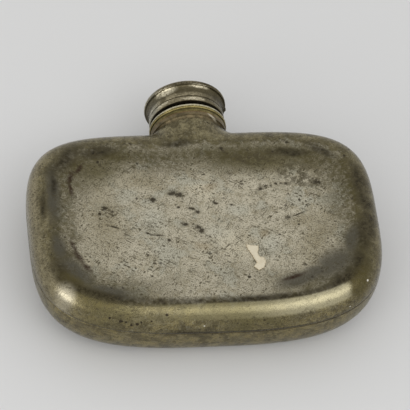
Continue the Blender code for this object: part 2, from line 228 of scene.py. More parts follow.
def settled(points, free, side):
    """The points moved onto the outer surface, each only along the axes it is free in."""
    for _ in range(SETTLE_ROUNDS):
        gap = surface_gap(points, side)
        slope = np.zeros_like(points)
        for axis in range(3):
            nudge = np.zeros(3)
            nudge[axis] = PROBE
            slope[:, axis] = (surface_gap(points + nudge, side) - gap) / PROBE
        slope = slope * free
        points = points - slope * (gap / np.maximum((slope**2).sum(axis=1), PROBE))[:, None]
    return points


def hip_curve(x):
    """How far the flask's curve lifts a point this far from its middle."""
    flat = REST_LAND_WIDTH / 2
    return HIP_RISE * (np.maximum(np.abs(x) - flat, 0) / (HALF_WIDTH - flat)) ** 2


def seam_step(step):
    """A ring step's direction round the seam. The first steps cross the neck's foot."""
    if step < NECK_STEPS:
        return math.atan2(HALF_LENGTH, NECK_FOOT * math.cos(math.pi * step / NECK_STEPS))
    return SEAM_START + SEAM_SWEEP * (step - NECK_STEPS) / (RING_STEPS - NECK_STEPS)


def seam_place(angle):
    """The seam outline's point in this direction, and its outward normal."""
    across_share, along_share = math.cos(angle), math.sin(angle)
    x_share, y_share = abs(across_share) / HALF_WIDTH, abs(along_share) / HALF_LENGTH
    reach = (x_share**OUTLINE_POWER + y_share**OUTLINE_POWER) ** (-1 / OUTLINE_POWER)
    normal = Vector((math.copysign(x_share ** (OUTLINE_POWER - 1) / HALF_WIDTH, across_share),
                     math.copysign(y_share ** (OUTLINE_POWER - 1) / HALF_LENGTH, along_share)))
    return Vector((across_share, along_share)) * reach, normal.normalized()


def first_place(step, row, side):
    """Where a point of the sheet starts, and whether it is free to move along each axis."""
    turn = math.pi * step / NECK_STEPS
    if row < 0:
        rise_share = -row / NECK_ROWS
        half = NECK_RADIUS + (NECK_FOOT - NECK_RADIUS) * (1 - rise_share) ** 2
        place = (half * math.cos(turn), HALF_LENGTH + NECK_HEIGHT * rise_share,
                 NECK_RADIUS * math.sin(turn))
        return place, (1, 0, float(0 < step < NECK_STEPS))
    tilt = math.pi / 2 * min(row, EDGE_ROWS) / EDGE_ROWS
    inset = side.edge * (1 - math.cos(tilt) ** (2 / side.power))
    height_share = math.sin(tilt) ** (2 / side.power)
    point, normal = seam_place(seam_step(step))
    neck_height = NECK_RADIUS * math.sin(turn) if step < NECK_STEPS else 0
    height = neck_height + (side.depth - neck_height) * height_share
    inward_share = 1 - max(row - EDGE_ROWS, 0) / FACE_ROWS
    point = (point - normal * inset) * inward_share
    on_seam = row == 0 and not 0 < step < NECK_STEPS
    if inward_share == 0:
        return (0, 0, side.depth), (0, 0, 1)
    return (point.x, point.y, height), (1, 1, float(not on_seam))


def new_edges(made):
    """The far edges and points of a strip that extrude_edge_only has just made."""
    verts = {item for item in made["geom"] if isinstance(item, bmesh.types.BMVert)}
    edges = [item for item in made["geom"] if isinstance(item, bmesh.types.BMEdge)
             and item.verts[0] in verts and item.verts[1] in verts]
    return edges, verts


def pressed_half(name, side, finish):
    """One half: a ring along the seam, extruded up the neck and inwards over the face."""
    sheet = bmesh.new()
    step_of = sheet.verts.layers.int.new("step")
    row_of = sheet.verts.layers.int.new("row")
    inset_of = sheet.verts.layers.float.new("inset_mm")
    rise_of = sheet.verts.layers.float.new("rise_mm")
    ring = bmesh.ops.create_circle(sheet, segments=RING_STEPS, radius=HALF_WIDTH)["verts"]
    for step, vert in enumerate(ring):
        vert[step_of] = step
    round_seam = sheet.edges[:]
    under_neck = [edge for edge in round_seam if max(v[step_of] for v in edge.verts) <= NECK_STEPS
                  and min(v[step_of] for v in edge.verts) < NECK_STEPS]
    for edges, last_row, way in ((under_neck, NECK_ROWS, -1),
                                 (round_seam, EDGE_ROWS + FACE_ROWS - 1, 1)):
        for row in range(1, last_row + 1):
            edges, verts = new_edges(bmesh.ops.extrude_edge_only(sheet, edges=edges))
            for vert in verts:
                vert[row_of] = way * row
    face = bmesh.ops.contextual_create(sheet, geom=edges)["faces"]
    middle = bmesh.ops.poke(sheet, faces=face)["verts"][0]
    middle[row_of] = EDGE_ROWS + FACE_ROWS
    bmesh.ops.recalc_face_normals(sheet, faces=sheet.faces)
    sheet.verts.ensure_lookup_table()
    starts = [first_place(vert[step_of], vert[row_of], side) for vert in sheet.verts]
    free = np.array([axes for _, axes in starts])
    points = settled(np.array([place for place, _ in starts]), free, side)
    for vert, point in zip(sheet.verts, points):
        vert.co = point
    by_neck = [vert for vert, axes in zip(sheet.verts, free) if min(axes) > 0
               and abs(vert.co.x) < NECK_FOOT and vert.co.y > HALF_LENGTH - NECK_ROOT]
    for _ in range(SMOOTH_ROUNDS):
        bmesh.ops.smooth_vert(sheet, verts=by_neck, factor=SMOOTH_FACTOR, use_axis_x=True,
                              use_axis_y=True, use_axis_z=True)
        points = settled(np.array([vert.co for vert in sheet.verts], float), free, side)
        for vert, point in zip(sheet.verts, points):
            vert.co = point
    sheet.normal_update()
    if middle.normal.z < 0:
        bmesh.ops.reverse_faces(sheet, faces=sheet.faces)
        sheet.normal_update()
    for vert in sheet.verts:
        place = vert.co * MM
        vert[inset_of] = max(float(outline_inset(vert.co.x, vert.co.y)), 0.0) * MM
        edge_share = min(vert[inset_of] / WAVE_EDGE_MM, 1)
        neck_share = min(max(HALF_LENGTH - vert.co.y, 0) / WAVE_NECK, 1)
        wave = noise.noise(place / (WAVE_LENGTH * MM) + Vector((0, 0, WAVE_SHIFT * side.turn))) - 1
        vert.co += vert.normal * wave * WAVE_DEPTH * edge_share * neck_share
    seam = [edge for edge in sheet.edges if edge.is_boundary
            and not all(vert[row_of] == -NECK_ROWS for vert in edge.verts)]
    lip = new_edges(bmesh.ops.extrude_edge_only(sheet, edges=seam))[1]
    for edge in seam:
        for vert in edge.verts:
            vert.co.z = SEAM_LIP
    for vert in lip:
        vert.co.z = SEAM_GAP / 2
    for vert in sheet.verts:
        x, y, z = vert.co
        vert[rise_of] = z * MM
        vert.co = (x, y + BODY_Y, SEAM_Z + z * side.turn + float(hip_curve(x)))
    bmesh.ops.recalc_face_normals(sheet, faces=sheet.faces)
    sheet.normal_update()
    if middle.normal.z * side.turn < 0:
        bmesh.ops.reverse_faces(sheet, faces=sheet.faces)
    made = mesh_object(name, sheet, finish)
    wall = made.modifiers.new("sheet", "SOLIDIFY")
    wall.thickness = SHEET
    wall.offset = -1
    wall.use_even_offset = True
    return made


# Places of the Mix node's sockets for colours, which share their names with others
MIX_SHARE = 0
MIX_BASE = 6
MIX_OVER = 7
MIX_RESULT = 2


class Field:
    """A value that changes over the surface. Plus, minus and times on it make math nodes."""

    def __init__(self, tree, socket):
        self.tree = tree
        self.socket = socket

    def __add__(self, other):
        return reckoned("ADD", self, other)

    def __sub__(self, other):
        return reckoned("SUBTRACT", self, other)

    def __rsub__(self, other):
        return reckoned("SUBTRACT", other, self)

    def __mul__(self, other):
        return reckoned("MULTIPLY", self, other)


def joined(tree, socket, value):
    """A socket joined to a field, or set to a plain value."""
    if isinstance(value, Field):
        tree.links.new(value.socket, socket)
    else:
        socket.default_value = (*value, 1) if socket.type == "RGBA" else value


def fields(tree, kind, sockets, **settings):
    """A new shader node with its settings and sockets. Returns its outputs by name and place."""
    made = tree.nodes.new("ShaderNode" + kind)
    for name, value in settings.items():
        setattr(made, name, value)
    for name, value in sockets.items():
        joined(tree, made.inputs[name], value)
    return {key: Field(tree, socket) for place, socket in enumerate(made.outputs)
            for key in (place, socket.name)}


def reckoned(operation, first, second=0.0):
    """The result of a math node on two values, at least one of them a field."""
    tree = (first if isinstance(first, Field) else second).tree
    return fields(tree, "Math", {0: first, 1: second}, operation=operation)[0]


def most(first, *others):
    """The greatest of some fields at each place."""
    for other in others:
        first = reckoned("MAXIMUM", first, other)
    return first


def least(first, *others):
    """The least of some fields at each place."""
    for other in others:
        first = reckoned("MINIMUM", first, other)
    return first


def stepped(value, low, high, start=0.0, end=1.0):
    """The value taken smoothly from start to end as it goes from low to high."""
    return fields(value.tree, "MapRange", {"Value": value, "From Min": low, "From Max": high,
                                           "To Min": start, "To Max": end},
                  interpolation_type="SMOOTHSTEP")[0]


def layered(base, colour, share):
    """The base colour with another laid over it by a mask."""
    return fields(share.tree, "Mix", {MIX_SHARE: share, MIX_BASE: base, MIX_OVER: colour},
                  data_type="RGBA")[MIX_RESULT]


def coats(colour, *layers):
    """The colour under some coats: each coat's colour, its mask and how strong it is at most."""
    for over, mask, strength in layers:
        colour = layered(colour, over, mask * strength)
    return colour


def noisy(vector, scale, detail, roughness=0.5):
    """A cloudy noise, as fine as the scale says."""
    return fields(vector.tree, "TexNoise", {"Vector": vector, "Scale": scale, "Detail": detail,
                                            "Roughness": roughness})[0]


def turned(vector, angle, invert=False):
    """The vector turned about the axis that points up from the flask's face."""
    return fields(vector.tree, "VectorRotate", {"Vector": vector, "Angle": angle},
                  rotation_type="Z_AXIS", invert=invert)[0]


def stretched(vector, *scale):
    """The vector scaled by axis. A pattern on it is drawn out along an axis with a small scale."""
    return fields(vector.tree, "Mapping", {"Vector": vector, "Scale": scale})[0]


def parts(vector):
    """The vector's x, y and z."""
    made = fields(vector.tree, "SeparateXYZ", {"Vector": vector})
    return [made[axis] for axis in "XYZ"]


def node_group(name, **inputs):
    """A new shader node group. Returns a field for each input. One without a default is a vector."""
    tree = bpy.data.node_groups.new(name, "ShaderNodeTree")
    for label, default in inputs.items():
        kind = "NodeSocketVector" if default is None else "NodeSocketFloat"
        socket = tree.interface.new_socket(label, in_out="INPUT", socket_type=kind)
        if default is not None:
            socket.default_value = default
    given = tree.nodes.new("NodeGroupInput").outputs
    return [Field(tree, given[label]) for label in inputs]


def group_of(label, result):
    """The node group that the result was worked out in, with the result as its one output."""
    tree = result.tree
    tree.interface.new_socket(label, in_out="OUTPUT", socket_type="NodeSocketFloat")
    joined(tree, tree.nodes.new("NodeGroupOutput").inputs[label], result)
    return tree


def placed(group, vector, **sockets):
    """A node group placed in the vector's tree with its own values."""
    return fields(vector.tree, "Group", {"Vector": vector, **sockets}, node_tree=group)[0]


def patches_group():
    """Patches: a soft cloud of tarnish or stain with a set edge."""
    vector, scale, detail, low, high = node_group("patches", Vector=None, Scale=1.0, Detail=4.0,
                                                  Low=0.4, High=0.6)
    return group_of("Mask", stepped(noisy(vector, scale, detail, 0.6), low, high))


def pinholes_group():
    """Pinholes: small dark pits of different sizes, each inside its own cell."""
    vector, scale, radius, share = node_group("pinholes", Vector=None, Scale=1.0, Radius=0.2,
                                              Share=0.3)
    cell = fields(vector.tree, "TexVoronoi", {"Vector": vector, "Scale": scale})
    chance = fields(vector.tree, "SeparateColor", {"Color": cell["Color"]})
    size = radius * chance["Green"]
    there = reckoned("LESS_THAN", chance["Red"], share)
    return group_of("Mask", stepped(cell["Distance"], size, size * 0.6) * there)


def hairlines_group():
    """Hairlines: long thin scratches, one way, thinning out to nothing."""
    vector, turn, scale, width = node_group("hairlines", Vector=None, Turn=0.0, Scale=1.0,
                                            Width=0.02)
    drawn = stretched(turned(vector, turn), 0.07, 1.0, 0.3)
    off = reckoned("ABSOLUTE", noisy(drawn, scale, 1.0, 0.4) - 0.5)
    return group_of("Mask", stepped(off, width, 0.0) * stepped(noisy(vector, 0.16, 2.0), 0.52, 0.62))


def blot_group():
    """Blot: a stain, knock, scratch, painted shade or highlight at a place. Its reach is 1 on an oval of
    its size.
    """
    vector, place, turn, size = node_group("blot", Vector=None, Place=None, Turn=0.0, Size=None)
    away = fields(vector.tree, "VectorMath", {0: vector, 1: place}, operation="SUBTRACT")[0]
    away = turned(away, turn, True)
    sized = fields(vector.tree, "VectorMath", {0: away, 1: size}, operation="DIVIDE")[0]
    reach = fields(vector.tree, "VectorMath", {0: sized}, operation="LENGTH")["Value"]
    return group_of("Reach", reach)


PATCHES = patches_group()
PINHOLES = pinholes_group()
HAIRLINES = hairlines_group()
BLOT = blot_group()

WORN_PEWTER = (0.76, 0.69, 0.52)
PALE_PEWTER = (0.60, 0.55, 0.42)
COOL_PEWTER = (0.60, 0.585, 0.48)
WARM_PEWTER = (0.34, 0.295, 0.19)
GOLDEN_OLIVE = (0.38, 0.31, 0.13)
LIGHT_OLIVE = (0.30, 0.26, 0.148)
OLIVE = (0.185, 0.158, 0.088)
BROWN_OLIVE = (0.085, 0.071, 0.038)
# Colours of painted shade on the front: the ring round the face's border, the veil zones and the deep zones
SHADE_RING_OLIVE = (0.088, 0.073, 0.027)
SHADE_VEIL_OLIVE = (0.150, 0.130, 0.058)
DEEP_OLIVE = (0.098, 0.080, 0.029)
# Colours of the painted highlight along the front's foot
HIGHLIGHT_GOLD = (0.25, 0.22, 0.115)
HIGHLIGHT_PALE = (0.48, 0.435, 0.28)
# The darkest painted shade, for the dark zones and the crease line
DARK_OLIVE = (0.026, 0.021, 0.012)
SLATE = (0.098, 0.091, 0.070)
DARK_PIT = (0.045, 0.036, 0.022)
RUST = (0.040, 0.021, 0.012)
AMBER = (0.30, 0.22, 0.11)
PALE_SPECK = (0.80, 0.76, 0.66)
SHEET_RELIEF = 0.00006

# Spans in mm over which a finish comes in or fades, of inset from the seam or of place
SIDE_SPAN = (46, 53)
FOOT_SPAN = (-27, -34)
TOP_SPAN = (18, 26)
NECK_SPAN = (34, 40)
FACE_SPAN = (7.8, 11)
FACE_FOOT_SHIFT = 3.4
BACK_FACE_SPAN = (8, 13)
BAND_INNER_SPAN = (5.9, 5)
BAND_OUTER_SPAN = (0.8, 1.5)
BAND_FOOT_SPAN = (-31.5, -34)
BAND_RIGHT_SPAN = (49, 46.5)
BAND_LEFT_SPAN = (-34, 2)
BAND_PALE_SPAN = (6, 32)
RING_LIFT_SPAN = (-6, 24)
RING_INNER_SPAN = (24, 8)
RING_OUTER_SPAN = (4.5, 8.5)
RING_TOP_SPAN = (15, 9)
CREASE_LEAN_SPAN = (-34, 0)
CREASE_INNER_SPAN = (8.8, 6.4)
CREASE_FOOT_SPAN = (-26, -33)
EDGE_LINE_SPAN = (4.2, 2.4)
EDGE_LINE_RISE_SPAN = (-12, 12)
EDGE_LINE_LEFT_SPAN = (0, -10)
SEAM_LINE_SPAN = (1, 0.6)
BACK_SEAM_LINE_SPAN = (0.7, 0.4)
SEAM_LINE_LEFT_SPAN = (-24, -6)
SEAM_LINE_RIGHT_SPAN = (30, 44)

# Marks on the front: x, y, half length and half width in mm about the body's middle, and turn in
# degrees. The half depth is the same for all marks of a kind.
MARK_DEPTH = 30
ZONE_DEPTH = 60
DARK_BLOTS = (
    (21.4, 11.8, 1, 0.7, 20), (23.2, 12.9, 0.6, 0.5, 0), (25, 12.8, 0.45, 0.5, 0),
    (27.2, 13.6, 0.5, 0.6, 40), (28.9, 13.6, 0.4, 0.4, 0), (30.8, 13.2, 0.8, 0.5, -20),
    (-10.5, 11.5, 1.3, 1, 0), (-8.3, 10.7, 1.5, 0.8, -15), (-17.7, 8.3, 1.1, 0.9, 0),
    (-35.2, 4.3, 0.9, 0.8, 0), (-32.9, 2.6, 0.6, 0.5, 0), (-37.3, 1.5, 0.5, 0.5, 0),
    (-32.7, 0.8, 0.5, 0.4, 0), (-32.9, -4, 1.3, 0.3, -20), (-20.8, -6.9, 1, 0.3, -25),
    (-17.6, -7.6, 1.8, 0.35, -8), (-4.2, 4, 1.2, 0.6, -15), (-2.4, 2.7, 0.8, 0.7, -30),
    (-7.4, -2.9, 0.9, 0.8, 0), (-2.9, -4.6, 1.2, 0.9, -20), (-2, -6, 0.9, 0.9, -30),
    (4.4, 6.2, 1, 0.4, -10), (-9, 4.9, 0.5, 0.5, 0), (10.4, 5.2, 0.7, 0.35, -20),
    (29.6, -2.1, 1.1, 0.7, 20), (33.2, -1, 2.4, 0.26, 22), (9.6, 31, 1.4, 0.5, -60),
    (41.4, 12.8, 1.5, 1.1, -30), (-19.1, -36.6, 1.3, 0.8, 0), (-13.9, -9.6, 0.7, 0.6, 0),
)
RUST_BLOTS = (
    (-43.2, 21.6, 3.2, 0.9, 55), (-46.6, 17.2, 3.6, 1.2, 75), (-46.8, 11.8, 3.6, 0.9, 95),
    (-48, -13.6, 3, 1, -65), (-46.4, -18.4, 3.8, 1.3, -62), (-44, -22.6, 2.6, 1.3, -50),
    (28.4, -28.6, 4.8, 0.9, 16),
)
SCRATCHES = (
    (12.8, -1.6, 3.4, 0.30, -45), (17.5, -5.2, 2.6, 0.26, -30), (-4.4, 7.3, 3.6, 0.30, 70),
    (1.5, 4, 1.9, 0.28, 62), (-12.9, -1.6, 1.9, 0.24, 75), (-10.2, -6.1, 2.6, 0.30, 65),
    (-11.2, -10.7, 2.3, 0.26, 92), (14.6, 12.9, 3, 0.26, -48), (-18, 0.5, 3.2, 0.24, -40),
    (2.6, -9, 3, 0.24, -70), (-30, 3, 3.4, 0.26, -38), (22, 3, 2.6, 0.24, 24), (-24, -12, 2.2, 0.24, -28),
    (8, -3.6, 2.6, 0.22, 60), (33, -12, 2.6, 0.24, 30),
)
AMBER_BLOTS = (
    (20.4, -8.4, 3.2, 2.6, 60), (-24.5, -23, 0.9, 0.8, 0), (14.6, -12.2, 3.4, 1.6, 12), (4, 14, 6, 3, 30),
    (-2, -13, 5, 3, -20),
)
COOL_ZONES = (
    (-18.5, -1, 7, 9, 0), (5, -8, 9, 5, -30), (12, 3, 6, 4, 0), (-16, -14, 6, 5, 0), (22, -14, 6, 8, 0),
    (-28, 9, 7, 4, 20),
)
# Pale specks and dark pits on the round of the rim: x, y and height in mm about the same place,
# and size
PALE_SPECKS = (
    (-4.2, -42.9, 3.8, 0.34), (54.3, -31, 11.2, 0.5), (47.8, -37.7, 5.2, 0.3),
)
RIM_PITS = (
    (-33.4, -41.2, 6.2, 0.8), (-31.8, -41.4, 5.8, 0.5), (-29.9, -41.9, 4.7, 0.6), (-27.9, -42, 5.2, 0.8),
    (-26.5, -41.8, 6, 0.5), (-37.3, -40.3, 7, 0.6), (-22.7, -41.9, 6, 0.5), (-17.4, -40.7, 8.1, 0.6),
)
# Zones of the front, in the five measures of the marks above. Slate zones are smooth blue-grey.
# The dark, veil and deep zones are painted shade, for the shade and dark reflections on the rims
# and on the face's rounded border. Haze zones darken the face in warm patches, worn zones lighten
# it, corroded zones are heavy tarnish, and clear zones thin the painted shade ring.
SLATE_ZONES = (
    (-53.4, 9, 20, 4, 88), (-53.4, -14, 10, 3.8, 96), (-48, -24.4, 12, 6.2, -54), (-38, -32.4, 14, 4.2, -8),
    (31, -29.4, 14, 4.2, 14), (43, -24.6, 15, 8, 38), (36, -27.2, 9, 4, 14), (50.8, -15, 11, 4.4, 72),
)
SHADE_ZONES = (
    (56.8, 11.5, 15, 4.6, 98), (56.2, -11, 18, 4.6, 82), (57.6, 1, 10, 4.4, 90), (51, -29, 11, 4.6, 54),
    (-57.2, 4, 12, 1.6, 90), (-52.8, 13, 8, 1.6, 84), (-47.4, 26.2, 14, 5.2, 56), (-36, 30, 13, 4, 14),
    (34, 27.4, 11, 3, -10), (-41, -35.4, 15, 4, -12), (-6, 33.6, 9, 2.4, 0), (45, 27, 9, 3, -42),
    (51.6, -25, 9, 3.6, 72), (-53.4, -26, 11, 4.6, 110), (-14, -44, 48, 1.4, 0), (46, -31, 10, 3.8, 36),
    (16, -36.6, 20, 2, 4),
)
SHADE_VEIL_ZONES = (
    (22, 25, 36, 11, -4), (-37, 21, 18, 12, 30), (-30, 28, 14, 7, 6), (52, -22, 14, 8, 80),
    (14, -42, 20, 1.6, 0), (-35, -38.8, 17, 3.8, -8),
)
DEEP_SHADE_ZONES = (
    (-42.5, -35, 14, 5, -20), (51.5, -31, 9, 4.2, 56), (-48.6, -30.5, 11, 5, -50),
)
HAZE_ZONES = (
    (-36, -2, 28, 12, 85), (38, -12, 22, 9, 68), (-20, 17, 14, 7, 0), (27, 22, 10, 6, -10),
    (40.5, 21, 12, 5, -75), (35, -4.5, 13, 4.5, 8), (-44.5, 24, 8, 4, 60),
)
WORN_ZONES = (
    (9, -12, 12, 9, -20), (1, 12, 9, 6, 0), (-45, -20, 6, 3.4, -50),
)
CORRODED_ZONES = (
    (35, 16.5, 13, 9, -35), (-40, 30, 14, 6, 25), (20, 26, 14, 5, 0),
)
CLEAR_ZONES = (
    (0, -31.5, 36, 13, 0), (-20, -20, 20, 13, 0), (0, 12, 14, 18, 0),
)
# A painted highlight on the rounding of the lower left corner, in the same five measures
HIGHLIGHT_SPOT = (-52.4, -32.4, 5.4, 4.6, -45)


def body_place(finish):
    """Object coordinates in millimetres about the body's middle."""
    tree = finish.node_tree
    place = fields(tree, "TexCoord", {})["Object"]
    return fields(tree, "Mapping", {"Vector": place, "Scale": (MM, MM, MM),
                                    "Location": tuple(-BODY_MIDDLE * MM)})[0]


def warped(vector, scale, reach):
    """The vector pushed about by a noise, so that an edge that it sets is ragged."""
    tree = vector.tree
    cloud = fields(tree, "TexNoise", {"Vector": vector, "Scale": scale, "Detail": 3.0})["Color"]
    centred = fields(tree, "VectorMath", {0: cloud, 1: (0.5, 0.5, 0.5)}, operation="SUBTRACT")[0]
    pushed = fields(tree, "VectorMath", {0: centred, "Scale": reach}, operation="SCALE")[0]
    return fields(tree, "VectorMath", {0: vector, 1: pushed}, operation="ADD")[0]


def cloudy(vector, scale, low, high, detail=5.0):
    """A mask of soft patches, as many to the millimetre as the scale says."""
    return placed(PATCHES, vector, Scale=scale, Detail=detail, Low=low, High=high)


def blots(vector, rows, deep=MARK_DEPTH):
    """The least reach of a table of blots: x, y, half length and half width in mm, turn in degrees."""
    return least(*[placed(BLOT, vector, Place=(x, y, 0), Turn=math.radians(turn),
                          Size=(length, width, deep)) for x, y, length, width, turn in rows])


def zoned(vector, rows, edge, core, start=0.0, end=1.0):
    """A mask of broad soft blots, from start at the edge's reach to end at the core's."""
    return stepped(blots(vector, rows, ZONE_DEPTH), edge, core, start, end)


def grained(place, fray):
    """Fine dark grain, denser in drifts."""
    return cloudy(place, 2.3, 0.47, 0.58, 3.0) * stepped(fray, 0.36, 0.60, 0.4, 1.0)


def pitted(vector, wander, scale, radius):
    """Small pits in drifts."""
    return placed(PINHOLES, vector, Scale=scale, Radius=radius, Share=0.3) * stepped(wander, 0.42, 0.62)


def scratched(place, turn, other_turn):
    """Hairlines that cross each other."""
    return most(placed(HAIRLINES, place, Turn=turn, Scale=0.9, Width=0.026),
                placed(HAIRLINES, place, Turn=other_turn, Scale=0.8, Width=0.022))


def sheet_fields(finish, scale, detail, wander_mm):
    """What both halves are painted by: places in mm, distances from the seam, and noises."""
    place = body_place(finish)
    inset, rise = [fields(place.tree, "Attribute", {}, attribute_name=name)["Fac"]
                   for name in ("inset_mm", "rise_mm")]
    wander = noisy(place, scale, detail)
    fray = noisy(place, 0.7, 4.0)
    soft_inset = inset + stepped(wander, 0.3, 0.7, -wander_mm, wander_mm)
    soft_inset = soft_inset + stepped(fray, 0.3, 0.7, -1.0, 1.0)
    ragged = warped(place, 0.35, 1.1)
    loose = warped(place, 0.09, 4.0)
    return place, ragged, loose, inset, rise, wander, fray, soft_inset


def rim_colours(place, ragged, loose, x, height_up):
    """The tarnished rim of a half: mottled olive, streaked along the seam and golden at the foot.

    Returns its colour, and masks of the flask's two sides and of its foot."""
    at_side = stepped(reckoned("ABSOLUTE", x), *SIDE_SPAN)
    at_foot = stepped(height_up, *FOOT_SPAN)
    lying = stretched(ragged, 0.2, 1.0, 1.0)
    standing = stretched(ragged, 1.0, 0.2, 1.0)
    pale_streaks, dark_streaks = [
        stepped(at_side, 0.0, 1.0, cloudy(lying, scale, low, high), cloudy(standing, scale, low, high))
        for scale, low, high in ((0.9, 0.52, 0.66), (0.7, 0.53, 0.67))]
    rim = coats(
        OLIVE,
        (LIGHT_OLIVE, cloudy(place, 0.22, 0.44, 0.62), 0.75),
        (GOLDEN_OLIVE, at_foot * cloudy(loose, 0.30, 0.40, 0.62), 0.5),
        (BROWN_OLIVE, cloudy(loose, 0.34, 0.48, 0.64), 0.7),
        (LIGHT_OLIVE, pale_streaks, 0.7),
        (BROWN_OLIVE, dark_streaks, 0.6),
    )
    return rim, at_side, at_foot


def coated(finish, colour, metallic, roughness, height, depth):
    """The finish with its colour, metal, roughness and relief of this depth joined to its shader."""
    tree = finish.node_tree
    relief = fields(tree, "Bump", {"Height": height, "Distance": depth})[0]
    shader = tree.nodes["Principled BSDF"]
    for name, value in (("Base Color", colour), ("Metallic", metallic), ("Roughness", roughness),
                        ("Normal", relief)):
        joined(tree, shader.inputs[name], value)
    return finish


